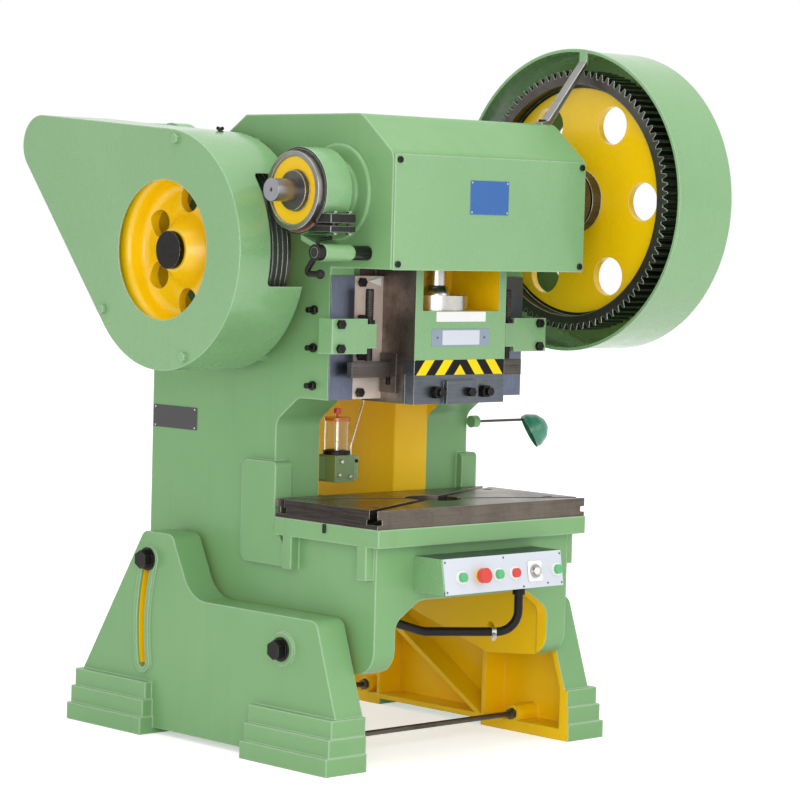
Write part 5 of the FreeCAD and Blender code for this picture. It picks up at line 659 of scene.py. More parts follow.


# In the finishes below, edge_tone is the colour of a painted highlight along the edges, and edge_share how
# much of it shows.
class Paint(Enum):
    """Every finish on the press, by the piece that it is made for."""

    GREEN = Finish("green_enamel", GREEN_COAT, edge=0.007)
    COVER = Finish("cover_enamel", SMOOTH_COAT, edge=0.006)
    FRAME = Finish("frame_enamel", GREEN_COAT, over=(
        (INSIDE_COAT, (
            Zone((-1, 20, 664.4), (212.8, 760, 1000.6)),
            Zone((-1, 29.5, 1001), (291.5, 756, 1366), LEFT, at_least=0.2),
            Zone((-1, 195, 1059), (292, 756, 1501)),
            Zone((-1, -144, 200), (309, 756, 531)),
            Zone((-1, -183.8, 200), (301.5, -140, 458.5)),
            Both(Ring(*SLOT_ARC, 0, 60), Zone((300, -40, 250), (376, 140, 400))))),
        (IRON_FACE, (Zone((-1, -185, 663), (410, 186, 665)),)),
    ), edge=0.008, coat=0.06, shine=0.3)
    LEG = Finish("leg_enamel", GREEN_COAT, over=(
        (INSIDE_COAT, (
            Zone((395, -200, 0), (405, 970, 590), LEFT, at_least=0.7), LEG_LOW, LEG_HIGH, LEG_SWEEP,
            Both(Ring(*SLOT_ARC, 603, 641), Zone((395, 400, 200), (499.5, 700, 520))))),
    ), edge=0.008, coat=0.06, shine=0.3)
    TABLE = bare("ground_table", TABLE_TOP, over=(
        (TABLE_FRONT_SHADED, (Zone(*TABLE_BOX, FRONT, at_least=0.7),)),
        (TABLE_END_SHADED, (Zone(*TABLE_BOX, RIGHT, at_least=0.7),)),
        # Painted shade: the upward faces below the top, such as the slots' floors, are black.
        (BLACK_FACE, (Zone((-1, -300, 650), (395, 300, 715.5), UP, at_least=0.7),)),
    ), edge=0.0015, edge_tone=(235, 230, 220), edge_share=0.7)
    BRIGHT = bare("bright_steel", Metal(
        (205, 203, 200), (130, 122, 112), stains=0.25, stretch=(300.0, 60.0, 60.0), polish=0.18))
    SHAFT = bare("shaft_steel", SHAFT_FACE, over=(
        (BLACK_FACE, (Zone((629.5, 300, 1300), (660, 500, 1500)),)),))
    BLACK = bare("black_oxide", BLACK_FACE, edge=0.0012, edge_tone=(150, 148, 144), edge_share=0.55)
    DARK = bare("dark_iron", Metal((92, 86, 80), (52, 44, 40), stains=0.5, polish=0.38), edge=0.0012,
                edge_tone=(190, 186, 180), edge_share=0.4)
    GEAR = Finish("gear_enamel", YELLOW_COAT, over=(
        (DARK_FACE, (Ring(*CRANK, 332, 420), Ring(*CRANK, 0, 93))),))
    WHEEL = Finish("flywheel_enamel", YELLOW_COAT, over=(
        (DARK_FACE, (Ring(*DRIVE, 285, 320), Ring(*DRIVE, 0, 45))),))
    DRUM = Finish("drum_enamel", YELLOW_COAT, over=(
        (Metal((150, 146, 142), (80, 72, 66), stains=0.4, polish=0.28), (Ring(*CRANK, 92, 120),)),
        (Metal((100, 92, 88), (60, 50, 46), stains=0.5, polish=0.32), (Ring(*CRANK, 0, 57),))))
    BAND = Finish("band_enamel", SMOOTH_COAT, over=((BLACK_FACE, (
        Zone((430, -140, 1463), (535, -32, 1517)),
        Zone((430, -200, 1400), (535, 200, 1750), RIGHT, at_least=0.7))),))
    STUD = Finish("stud_enamel", GREEN_COAT, over=((BLACK_FACE, (
        Zone((370, -200, 1380), (439.5, 0, 1440)), Zone((547.5, -200, 1380), (580, 0, 1440)))),))
    SLIDE = Finish("slide_finish", SLIDE_FACE, over=(
        (SLIDE_FOOT, (Zone((-1, -110, 980), (181, -60, 1115)),)),
        (SMOOTH_COAT, (Zone((-1, -106, 1115), (179, -104.2, 1401)),)),
        (YELLOW_COAT, (Zone((-1, -104.2, 1251), (150.5, 94, 1401)),)),
    ), coat=0.1, edge=0.0015)
    GIB = bare("gib_iron", Metal(
        (220, 204, 192), (160, 142, 128), stains=0.25, stretch=CUT_UPRIGHT, polish=0.34, lines=0.12,
        metallic=0.4))
    WAY = bare("way_iron", Metal(
        (104, 112, 130), (70, 74, 88), stains=0.35, stretch=CUT_UPRIGHT, polish=0.28, lines=0.12))
    CLAMP = bare("clamp_iron", Metal(
        (96, 102, 110), (66, 66, 72), stains=0.4, stretch=CUT_ACROSS, polish=0.28, lines=0.12))
    BRONZE = bare("bronze", Metal((190, 146, 82), (110, 76, 40), stains=0.4, polish=0.26))
    # The lining's own red-brown shows only along the bottom; the dark elsewhere is painted shade in the gap
    # under the band.
    LINING = Finish("brake_lining", Enamel((44, 34, 32), (34, 26, 24), skin=1.2, gloss=0.7), over=(
        (Enamel((138, 66, 44), (104, 50, 34), dust=0.3, skin=1.2, gloss=0.75), (
            Zone((430, -160, 1440), (560, 160, 1490)),)),
    ), coat=0.0)
    RUBBER = Finish("belt_rubber", Enamel((38, 38, 40), (26, 26, 28), dust=0.25, skin=1.0, gloss=0.6),
                    coat=0.0, edge_tone=(70, 70, 70), shine=0.3)
    CONDUIT = Finish("conduit_rubber", Enamel((24, 19, 18), (15, 12, 11), dust=0.04, skin=0.6, gloss=0.42),
                     coat=0.0, edge_tone=(44, 38, 36), shine=0.2)
    # Painted shade: the box's upward faces, which lie under the table, are a darker green.
    BOX = Finish("box_enamel", SMOOTH_COAT, over=((Enamel((52, 82, 64), (36, 60, 48), dust=0.3, gloss=0.4), (
        Zone((-1, -400, 560), (300, -100, 640), UP),)),))
    PANEL = moulded("panel_enamel", (208, 213, 222), (200, 205, 214), gloss=0.3, edge=0.001)
    TEAL = Finish("shade_enamel", Enamel((58, 138, 110), (40, 116, 92), gloss=0.2), edge=0.001,
                  edge_tone=(150, 190, 170))
    ARM = Finish("arm_steel", DARK_FACE, over=((GREEN_COAT, (Zone((370, 190, 880), (402.5, 260, 940)),)),),
                 coat=0.05, edge=0.001)
    MOTOR = Finish("motor_enamel", Enamel((128, 176, 124), (110, 160, 110), gloss=0.34))
    PUMP = Finish("pump_enamel", Enamel((120, 150, 96), (96, 124, 76)), over=(
        (SMOOTH_COAT, (Zone((14, 280, 740), (50.2, 330, 816)),)),
        (Metal((206, 202, 192), (140, 130, 118), stains=0.2, polish=0.22), (
            Zone((-1, 200, 740), (13.8, 400, 1010)), Zone((14, 200, 816.2), (47, 400, 1010)),
            Zone((50.4, 200, 820.4), (140, 400, 917.8)))),
        (Enamel((214, 120, 30), (190, 96, 22), dust=0.05, gloss=0.16), (
            Zone((50.4, 200, 917.8), (140, 400, 945)),)),
    ), edge=0.0015)
    WHITE = moulded("white_plastic", (236, 236, 232), (226, 226, 222))
    BEZEL = moulded("bezel_plastic", (240, 240, 236), (230, 230, 226), over=(
        (Enamel((252, 206, 24), (244, 192, 14), dust=0.02, skin=0.2, gloss=0.25), (
            Both(Half(-1.0), Zone((72, -340, 480), (120, -260, 580))),)),
        (Metal((170, 170, 172), (110, 106, 104), stains=0.2, polish=0.22), (
            Both(Half(1.0), Zone((98, -340, 480), (145, -260, 580))),))))
    GUARD = Finish("guard_enamel", SMOOTH_COAT, over=(
        (Metal((150, 150, 148), (104, 98, 92), stains=0.35, stretch=(9.0, 420.0, 9.0), polish=0.3,
               lines=0.1), (Zone((330, -90, 1786), (525.6, -30, 2030)),)),))
    RED = moulded("red_plastic", (216, 56, 48), (200, 44, 38), dust=0.03, gloss=0.22,
                  edge_tone=(230, 110, 100))
    LEAF = moulded("green_plastic", (112, 178, 124), (98, 164, 112), dust=0.03, gloss=0.22)
    BLUE = moulded("blue_plate", (24, 94, 164), (18, 84, 152), dust=0.02, gloss=0.22, edge=0.0006)
    SIGN = moulded("sign_grey", (136, 152, 168), (126, 142, 158), dust=0.04, gloss=0.3, edge=0.0006)
    INK = Finish("black_plate", Enamel((30, 30, 32), (40, 40, 42), dust=0.05, skin=0.3, gloss=0.3),
                 edge=0.0006)

    def coat(self, *nodes: str) -> None:
        """Give this finish to CAD nodes."""
        for name in nodes:
            for slot in FRAME["nodes"][name].material_slots:
                slot.material = self.value.material()


FRAME: dict = {}


@dataclass(frozen=True)
class Seat:
    """Where a flat piece lies: its middle, and the directions across and up it."""

    middle: Vector
    across: Vector
    up: Vector

    def matrix(self) -> Matrix:
        """The turn and place of a piece drawn in X and Y, with Z out of the surface.

        Returns:
            The matrix that moves it there.
        """
        out = self.across.cross(self.up)
        turn = Matrix((self.across, self.up, out)).transposed().to_4x4()
        return Matrix.Translation(self.middle) @ turn


def top_seat(x: float, y: float, z: float) -> Seat:
    """A seat on a surface that faces up."""
    return Seat(row(x, y, z), Vector(RIGHT), Vector(BACK))


def front_seat(x: float, y: float, z: float) -> Seat:
    """A seat on a surface that faces the operator."""
    return Seat(row(x, y, z), Vector(RIGHT), Vector(UP))


def left_seat(x: float, y: float, z: float) -> Seat:
    """A seat on a surface that faces left."""
    return Seat(row(x, y, z), Vector(FRONT), Vector(UP))


def show(name: str, data: object) -> bpy.types.Object:
    """A new object in the scene.

    Args:
        name: The object's name.
        data: Its mesh, lamp or camera.

    Returns:
        The object.
    """
    thing = bpy.data.objects.new(name, data)
    bpy.context.scene.collection.objects.link(thing)
    return thing


def hand_in(mesh: bpy.types.Mesh, body: str, paint: Paint | None = None) -> bpy.types.Object:
    """Make a finished mesh a piece of the press.

    Args:
        mesh: The mesh, already in place, which gives the piece its name.
        body: The body that it moves with.
        paint: Its finish, where the mesh has none.

    Returns:
        The new object.
    """
    piece = show(mesh.name, mesh)
    if paint is not None:
        mesh.materials.append(paint.value.material())
    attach(piece, body)
    LOG.info("%s: %d faces on %s", mesh.name, len(mesh.polygons), body)
    return piece


def placed(shape: bmesh.types.BMesh, name: str, seat: Seat | None = None) -> bpy.types.Mesh:
    """Put a shape on its seat, turn it into a mesh and free it.

    Args:
        shape: The shape.
        name: The mesh's name.
        seat: Where it lies, or nothing where it is in place.

    Returns:
        The mesh.
    """
    if seat is not None:
        shape.transform(seat.matrix())
    mesh = bpy.data.meshes.new(name)
    shape.to_mesh(mesh)
    shape.free()
    return mesh


def skin(shape: bmesh.types.BMesh, rings: list[list[Point]], closed: bool = False) -> bmesh.types.BMesh:
    """Lay faces over rings of points that follow each other.

    Args:
        shape: The shape that they are added to.
        rings: The rings, each with as many points.
        closed: Whether the last ring joins the first; otherwise both are filled.

    Returns:
        The same shape.
    """
    loops = [[shape.verts.new(point) for point in ring] for ring in rings]
    pairs = list(zip(loops, loops[1:]))
    if closed:
        pairs.append((loops[-1], loops[0]))
    else:
        shape.faces.new(list(reversed(loops[0])))
        shape.faces.new(loops[-1])
    for low, high in pairs:
        for index in range(len(low)):
            after = (index + 1) % len(low)
            shape.faces.new((low[index], low[after], high[after], high[index]))
    bmesh.ops.recalc_face_normals(shape, faces=shape.faces)
    return shape


def rounded_outline(width: float, height: float, radius: float, out: float, steps: int = 6) -> list[Point]:
    """Points of a rectangle with round corners, in turning order, at one height.

    Args:
        width: Size across.
        height: Size up.
        radius: Rounding of the corners.
        out: Height over the seat.
        steps: Sides of each corner.

    Returns:
        The points, all in metres.
    """
    points = []
    for corner, (x, y) in enumerate(((1, 1), (-1, 1), (-1, -1), (1, -1))):
        for step in range(steps + 1):
            angle = math.pi / 2 * (corner + step / steps)
            points.append((x * (width / 2 - radius) + radius * math.cos(angle),
                           y * (height / 2 - radius) + radius * math.sin(angle), out))
    return points


def turned(profile: list[tuple[float, float]], steps: int = 24, closed: bool = False) -> bmesh.types.BMesh:
    """A solid turned about Z.

    Args:
        profile: Radius and height of each circle, in metres.
        steps: Corners of a circle.
        closed: Whether the last circle joins the first, which leaves a hole in the middle.

    Returns:
        The shape, to be placed and freed by the caller.
    """
    angles = [math.tau * (index + 0.5) / steps for index in range(steps)]
    rings = [[(reach * math.cos(a), reach * math.sin(a), out) for a in angles] for reach, out in profile]
    return skin(bmesh.new(), rings, closed)


@dataclass(frozen=True)
class Plate:
    """A plate with round corners and a chamfered face.

    Args:
        name: The piece's name.
        size: Width, height and thickness in metres.
        radius: Rounding of the corners.
        chamfer: Width of the chamfer round the face.
        body: The body that it moves with.
        slot: The record's material slot; not used.
        paint: Its finish, where it isn't given one later.
    """

    name: str
    size: Point
    radius: float
    chamfer: float
    body: str
    slot: str
    paint: Paint | None = None

    def build(self, seat: Seat) -> bpy.types.Object:
        """Make the plate on its seat and hand it in.

        Args:
            seat: Where it lies.

        Returns:
            The piece.
        """
        width, height, thick = self.size
        rings = []
        for inset, out in (0.0, 0.0), (0.0, thick - self.chamfer), (self.chamfer, thick):
            corner = max(self.radius - inset, 0.0002)
            rings.append(rounded_outline(width - 2 * inset, height - 2 * inset, corner, out))
        return hand_in(placed(skin(bmesh.new(), rings), self.name, seat), self.body, self.paint)


class Head(Enum):
    """Kinds of small fastener head."""

    RIVET = "rivet"
    SLOTTED = "slotted"
    HEX = "hex"


@dataclass
class ScrewRow:
    """Equal small fasteners on one surface, placed by a geometry tree."""

    name: str
    seats: list[Seat]
    radius: float
    height: float
    head: Head
    paint: Paint
    body: str
    slot: str = "machined_steel"

    def head_mesh(self) -> bpy.types.Mesh:
        """One head, with Z out of the surface.

        Returns:
            Its mesh.
        """
        wide, tall = self.radius, self.height
        if self.head is Head.HEX:
            shape = turned([(wide, 0.0), (wide, tall * 0.8), (wide * 0.86, tall)], 6)
        else:
            dome = [(wide, 0.0), (wide, tall * 0.35), (wide * 0.86, tall * 0.75), (wide * 0.6, tall)]
            shape = turned(dome, 16)
        if self.head is Head.SLOTTED:
            top = max(shape.faces, key=lambda face: face.calc_center_median().z)
            bmesh.ops.inset_individual(shape, faces=[top], thickness=wide * 0.12)
            bmesh.ops.translate(shape, vec=(0, 0, -tall * 0.35), verts=list(top.verts))
            bmesh.ops.scale(shape, vec=(1.0, 0.3, 1.0), verts=list(top.verts))
        return placed(shape, self.name + "_head")

    def build(self) -> bpy.types.Object:
        """Instance the head on every seat and hand the result in as one mesh.

        Returns:
            The piece.
        """
        head = bpy.data.objects.new(self.name + "_head", self.head_mesh())
        tree, graph, given = start_tree(self.name, {"Size": 1.0})
        source = graph.add("GeometryNodeObjectInfo", {"transform_space": "ORIGINAL"}, {"Object": head})
        finish_tree(graph, given, source.outputs["Geometry"], given["Size"], self.paint)
        piece = bake(self.name, self.seats, tree, {"Size": 1.0}, self.body)
        bpy.data.objects.remove(head)
        return piece


@dataclass
class ThreadRow:
    """Equal screw threads, each a ridge wound round its shank from its seat outwards."""

    name: str
    seats: list[Seat]
    radius: float
    length: float
    pitch: float
    paint: Paint
    body: str
    slot: str

    def build(self) -> bpy.types.Object:
        """Wind the ridge in a geometry tree, once on every seat, and hand the result in as one mesh.

        Returns:
            The piece.
        """
        values = {"Radius": self.radius, "Length": self.length, "Turns": self.length / self.pitch,
                  "Ridge": self.pitch * 0.4}
        tree, graph, given = start_tree(self.name, values)
        wind = graph.add("GeometryNodeCurveSpiral", None, {
            "Resolution": 14, "Rotations": given["Turns"], "Start Radius": given["Radius"],
            "End Radius": given["Radius"], "Height": given["Length"]}).outputs[0]
        ridge = graph.add("GeometryNodeCurvePrimitiveCircle", None, {
            "Resolution": 4, "Radius": given["Ridge"]}).outputs["Curve"]
        thread = graph.add("GeometryNodeCurveToMesh", None, {
            "Curve": wind, "Profile Curve": ridge, "Fill Caps": True}).outputs[0]
        finish_tree(graph, given, thread, (1.0, 1.0, 1.0), self.paint)
        return bake(self.name, self.seats, tree, values, self.body)


def start_tree(name: str, inputs: dict[str, float]) -> tuple:
    """Start a geometry tree with number inputs.

    Args:
        name: The tree's name.
        inputs: Starting value by name.

    Returns:
        The tree, its graph and the sockets of its inputs.
    """
    tree = bpy.data.node_groups.new(name, "GeometryNodeTree")
    tree.interface.new_socket("Geometry", in_out="INPUT", socket_type="NodeSocketGeometry")
    for label, value in inputs.items():
        tree.interface.new_socket(label, in_out="INPUT", socket_type="NodeSocketFloat").default_value = value
    tree.interface.new_socket("Geometry", in_out="OUTPUT", socket_type="NodeSocketGeometry")
    graph = Graph(tree)
    return tree, graph, graph.add("NodeGroupInput").outputs


def finish_tree(graph: Graph, given: dict, shape: Socket, size: object, paint: Paint) -> None:
    """End a geometry tree: put the shape on every point, make it real and paint it.

    Args:
        graph: The tree's graph.
        given: The sockets of its inputs.
        shape: What stands on each point.
        size: Its size, as a socket or a value.
        paint: Its finish.
    """
    kind = {"data_type": "FLOAT_VECTOR"}
    turn = graph.add("GeometryNodeInputNamedAttribute", kind, {"Name": "turn"}).outputs
    spots = graph.add("GeometryNodeInstanceOnPoints", None, {
        "Points": given["Geometry"], "Instance": shape, "Rotation": turn[0], "Scale": size}).outputs[0]
    solid = graph.add("GeometryNodeRealizeInstances", None, {"Geometry": spots}).outputs[0]
    dressed = graph.add("GeometryNodeSetMaterial", None, {
        "Geometry": solid, "Material": paint.value.material()}).outputs[0]
    graph.add("NodeGroupOutput", None, {"Geometry": dressed})


def seat_points(name: str, seats: list[Seat]) -> bpy.types.Mesh:
    """One point for each seat, with the seat's turn as an attribute.

    Args:
        name: Name of the piece that they are for.
        seats: The seats.

    Returns:
        The mesh of points.
    """
    mesh = bpy.data.meshes.new(name + "_spots")
    mesh.from_pydata([tuple(seat.middle) for seat in seats], [], [])
    turns = mesh.attributes.new("turn", "FLOAT_VECTOR", "POINT")
    for index, seat in enumerate(seats):
        turns.data[index].vector = seat.matrix().to_euler()
    return mesh


def bake(name: str, seats: list[Seat], tree: bpy.types.NodeTree, values: dict[str, float], body: str) -> bpy.types.Object:
    """Run a geometry tree on the seats' points and hand the result in as a plain mesh.

    Args:
        name: The piece's name.
        seats: Where the tree's shape stands.
        tree: The geometry tree.
        values: The tree's inputs by name.
        body: The body that the piece moves with.

    Returns:
        The finished piece.
    """
    carrier = show(name + "_carrier", seat_points(name, seats))
    modifier = carrier.modifiers.new("maker", "NODES")
    modifier.node_group = tree
    for item in tree.interface.items_tree:
        if item.item_type == "SOCKET" and item.in_out == "INPUT" and item.name in values:
            modifier[item.identifier] = values[item.name]
    graph = bpy.context.evaluated_depsgraph_get()
    result = bpy.data.meshes.new_from_object(carrier.evaluated_get(graph))
    result.name = name
    carrier.modifiers.clear()
    bpy.data.objects.remove(carrier)
    return hand_in(result, body)


@dataclass(frozen=True)
class Lamp:
    """A square soft lamp; its size is in metres and its power in watts."""

    name: str
    place: Point
    size: float
    power: float

    def build(self, aim: Point) -> None:
        """Hang the lamp so that it faces a place.

        Args:
            aim: The place, in metres.
        """
        lamp = bpy.data.lights.new(self.name, "AREA")
        lamp.shape, lamp.size, lamp.energy = "SQUARE", self.size, self.power
        holder = show(self.name, lamp)
        holder.location = self.place
        holder.rotation_euler = (Vector(aim) - Vector(self.place)).to_track_quat("-Z", "Y").to_euler()


@dataclass
class Studio:
    """Floor, light and camera."""

    camera_place: Point = (-5.768, -6.33125, 1.490)
    turn: float = 43.5
    dip: float = 3.439
    roll: float = 1.5
    focal: float = 131.3
    floor_half: float = 30.0
    floor_tone: float = 0.86
    floor_glow: float = 0.5
    sky_light: float = 0.84
    lamp_aim: Point = (0.0, -0.1, 1.0)
    lamps: tuple[Lamp, ...] = (
        Lamp("camera_lamp", (-3.7, -4.5, 1.5), 2.9, 93.0), Lamp("front_lamp", (1.8, -5.0, 3.2), 3.0, 34.0),
        Lamp("top_lamp", (-0.4, -0.6, 5.6), 4.0, 86.0))

    def build(self) -> None:
        """Set up the floor, the world, the lamps and the camera."""
        self.floor()
        self.world()
        for lamp in self.lamps:
            lamp.build(self.lamp_aim)
        self.camera()
        bpy.context.scene.view_settings.view_transform = "Standard"

    def floor(self) -> None:
        """A plain pale floor."""
        half = self.floor_half
        mesh = bpy.data.meshes.new("floor")
        corners = [(-half, -half, 0), (half, -half, 0), (half, half, 0), (-half, half, 0)]
        mesh.from_pydata(corners, [], [(0, 1, 2, 3)])
        material, graph = start_material("pale_floor")
        tone = (self.floor_tone, self.floor_tone, self.floor_tone, 1)
        matt = graph.add("ShaderNodeBsdfPrincipled", None, {"Base Color": tone, "Roughness": 0.9}).outputs[0]
        glow = graph.add("ShaderNodeEmission", None, {
            "Color": WHITE_LIGHT, "Strength": self.floor_glow}).outputs[0]
        both = graph.add("ShaderNodeAddShader", None, {0: matt, 1: glow}).outputs[0]
        mixed = graph.add("ShaderNodeMixShader", None, {0: self.seen(graph), 1: matt, 2: both}).outputs[0]
        graph.add("ShaderNodeOutputMaterial", None, {"Surface": mixed})
        mesh.materials.append(material)
        floor = show("floor", mesh)

    @staticmethod
    def seen(graph: Graph) -> Socket:
        """1 on rays from the camera, mirrors and glass.

        Args:
            graph: The graph of the floor or the world.

        Returns:
            The mask.
        """
        path = graph.add("ShaderNodeLightPath").outputs
        rays = [path[f"Is {kind} Ray"] for kind in ("Camera", "Glossy", "Transmission")]
        return graph.fold("MAXIMUM", rays)

    def world(self) -> None:
        """An even sky that is white where it is seen."""
        world = bpy.data.worlds.new("studio_sky")
        bpy.context.scene.world = world
        world.use_nodes = True
        world.node_tree.nodes.clear()
        graph = Graph(world.node_tree)
        strength = graph.level(self.seen(graph), self.sky_light, 1.0)
        sky = graph.add("ShaderNodeBackground", None, {"Color": WHITE_LIGHT, "Strength": strength}).outputs[0]
        graph.add("ShaderNodeOutputWorld", None, {"Surface": sky})

    def camera(self) -> None:
        """The camera at the photograph's angle."""
        turn, dip, roll = math.radians(self.turn), math.radians(self.dip), math.radians(self.roll)
        ahead = Vector((math.sin(turn) * math.cos(dip), math.cos(turn) * math.cos(dip), -math.sin(dip)))
        level = Vector((math.cos(turn), -math.sin(turn), 0.0))
        above = level.cross(ahead)
        right = level * math.cos(roll) + above * math.sin(roll)
        up = above * math.cos(roll) - level * math.sin(roll)
        data = bpy.data.cameras.new("camera")
        data.lens, data.sensor_width, data.sensor_fit = self.focal, 36.0, "HORIZONTAL"
        data.clip_end = 200.0
        camera = show("camera", data)
        turned_to = Matrix((right, up, -ahead)).transposed().to_4x4()
        camera.matrix_world = Matrix.Translation(self.camera_place) @ turned_to
        bpy.context.scene.camera = camera


@dataclass
class Stand:
    """Legs, frame, tie rods and the plate on the frame's left side."""

    plate: Plate = Plate("frame_plate", (0.201, 0.066, 0.0015), 0.004, 0.0004, "frame", "dark_steel",
                         Paint.INK)
    plate_middle: Point = (-378, 690.5, 911)
    rivets_apart: tuple[float, float] = (90, 27)

    def build(self) -> None:
        """Dress the cast pieces and add the plate."""
        Paint.FRAME.coat("press_frame")
        Paint.LEG.coat("left_leg", "right_leg")
        Paint.GREEN.coat("crank_housings", "motor_bracket", "drive_shaft_bearings")
        Paint.DARK.coat("tie_rods")
        Paint.BLACK.coat("hinge_bolts", "hex_bolts", "bolster_bolts")
        self.plate.build(left_seat(*self.plate_middle))
        x, y, z = self.plate_middle
        aside, above = self.rivets_apart
        x -= self.plate.size[2] * 1000
        seats = [left_seat(x, y + sy * aside, z + sz * above) for sy in (-1, 1) for sz in (-1, 1)]
        ScrewRow("frame_plate_rivets", seats, 0.003, 0.0018, Head.RIVET, Paint.BRIGHT, "frame").build()


@dataclass
class Table:
    """The slotted table."""

    keeper: Plate = Plate("table_keeper", (0.011, 0.026, 0.004), 0.003, 0.001, "frame", "dark_steel",
                          Paint.BLACK)
    keeper_middle: Point = (-410, -7, 650)

    def build(self) -> None:
        """Dress the table plate and add the keeper under its left end."""
        Paint.TABLE.coat("bolster_plate")
        self.keeper.build(left_seat(*self.keeper_middle))


@dataclass
class Ram:
    """Slide, guides, connecting rod and the signs on the slide's front."""

    front: float = -105.0
    sign: Plate = Plate("slide_sign", (0.226, 0.049, 0.0016), 0.002, 0.0004, "slide", "panel_grey",
                        Paint.SIGN)
    field: Plate = Plate("slide_sign_field", (0.146, 0.041, 0.0005), 0.002, 0.0002, "slide", "white_plastic",
                         Paint.PANEL)
    label: Plate = Plate("slide_label", (0.194, 0.028, 0.0006), 0.002, 0.0002, "slide", "white_plastic",
                         Paint.WHITE)
    band: Plate = Plate("slide_band", (0.350, 0.042, 0.0006), 0.001, 0.0002, "slide", "yellow_paint")
    sign_height: float = 1177.5
    label_height: float = 1236.0
    band_height: float = 1094.0
    stripe: float = 0.0735
    stripe_lean: float = 0.8

    def build(self) -> None:
        """Dress the slide and its guides and add band, pointer, threads and plates."""
        Paint.SLIDE.coat("slide_block")
        Paint.CLAMP.coat("clamp_block")
        Paint.WAY.coat("guide_face_plates")
        Paint.GIB.coat("gib_plates")
        Paint.COVER.coat("stop_brackets")
        Paint.BLACK.coat("gib_adjusting_screws", "stop_screws", "clamp_nuts")
        Paint.DARK.coat("bar_guide_plates", "knockout_bar")
        Paint.BRIGHT.coat("ball_seat_ring", "ball_screw", "connecting_rod")
        Paint.WHITE.coat("slide_pointer")
        band = self.band.build(front_seat(0, self.front, self.band_height))
        band.data.materials.append(self.stripes())
        self.pointer()
        seats = [top_seat(side * 272, -18, 1234) for side in (-1, 1)]
        ThreadRow("stop_screw_threads", seats, 0.0108, 0.072, 0.0048, Paint.DARK, "frame",
                  "dark_steel").build()
        seats = [top_seat(0, 0, 1336)]
        ThreadRow("ball_screw_thread", seats, 0.0258, 0.026, 0.005, Paint.BRIGHT, "conrod",
                  "machined_steel").build()
        sign_front = self.front - self.sign.size[2] * 1000
        self.sign.build(front_seat(0, self.front, self.sign_height))
        self.field.build(front_seat(0, sign_front, self.sign_height))
        rivets = [front_seat(x, sign_front, self.sign_height) for x in (-92, 92)]
        ScrewRow("slide_sign_rivets", rivets, 0.0032, 0.0016, Head.RIVET, Paint.DARK, "slide").build()
        self.label.build(front_seat(0, self.front, self.label_height))

    def pointer(self) -> None:
        """The white wedge that points at the guide, its tip to the left."""
        low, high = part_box("slide_pointer")
        middle = (low[2] + high[2]) / 2
        corners = [(low[0], middle), (high[0], high[2]), (high[0], low[2])]
        shape = bmesh.new()
        back = [shape.verts.new((x, high[1], z)) for x, z in corners]
        shape.faces.new(back)
        moved = bmesh.ops.extrude_face_region(shape, geom=list(shape.faces))["geom"]
        bmesh.ops.translate(shape, vec=(0, low[1] - high[1], 0),
                            verts=[part for part in moved if isinstance(part, bmesh.types.BMVert)])
        bmesh.ops.bevel(shape, geom=list(shape.edges), offset=0.0007, segments=2, affect="EDGES")
        bmesh.ops.recalc_face_normals(shape, faces=shape.faces)
        wedge = hand_in(placed(shape, "pointer_wedge"), "frame", Paint.WHITE)
        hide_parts("slide_pointer")

    def stripes(self) -> bpy.types.Material:
        """The warning band's stripes, which lean away from the middle.

        Returns:
            The material.
        """
        material, graph = start_material("striped_band")
        apart = graph.apart(here(graph))
        reach = graph.sum("ABSOLUTE", apart[0])
        climb = graph.times(graph.sum("SUBTRACT", apart[2], 1.070), self.stripe_lean)
        phase = graph.sum("FRACT", graph.sum("DIVIDE", graph.sum("ADD", reach, climb), self.stripe))
        dark = graph.sum("GREATER_THAN", graph.sum("PINGPONG", graph.sum("SUBTRACT", phase, 0.1), 0.5), 0.25)
        black, yellow = BLACK_STRIPE.lay(graph), YELLOW_STRIPE.lay(graph)
        graph.surface({
            "Base Color": graph.blend(dark, yellow.colour, black.colour), "Roughness": yellow.roughness,
            "Normal": graph.bump(0.2, yellow.height), "Specular IOR Level": 0.15})
        return material


@dataclass
class Crank:
    """Crankshaft, brake and the lid over them."""

    plate: Plate = Plate("cover_plate", (0.150, 0.094, 0.0016), 0.003, 0.0004, "frame", "panel_grey",
                         Paint.BLUE)
    plate_middle: Point = (-13, -217, 1570)
    rivets_apart: tuple[float, float] = (69, 41)

    def build(self) -> None:
        """Dress the crank train and add the plate on the lid."""
        Paint.COVER.coat("front_cover")
        Paint.BLACK.coat("front_cover_screws", "brake_lever")
        Paint.SHAFT.coat("crankshaft")
        Paint.BRONZE.coat("crank_bushes")
        Paint.DRUM.coat("brake_drum")
        Paint.BAND.coat("brake_band")
        Paint.LINING.coat("brake_lining")
        Paint.STUD.coat("brake_stud")
        self.plate.build(front_seat(*self.plate_middle))
        x, y, z = self.plate_middle
        aside, above = self.rivets_apart
        y -= self.plate.size[2] * 1000
        seats = [front_seat(x + sx * aside, y, z + sz * above) for sx in (-1, 1) for sz in (-1, 1)]
        ScrewRow("cover_plate_rivets", seats, 0.0028, 0.0016, Head.RIVET, Paint.BRIGHT, "frame").build()


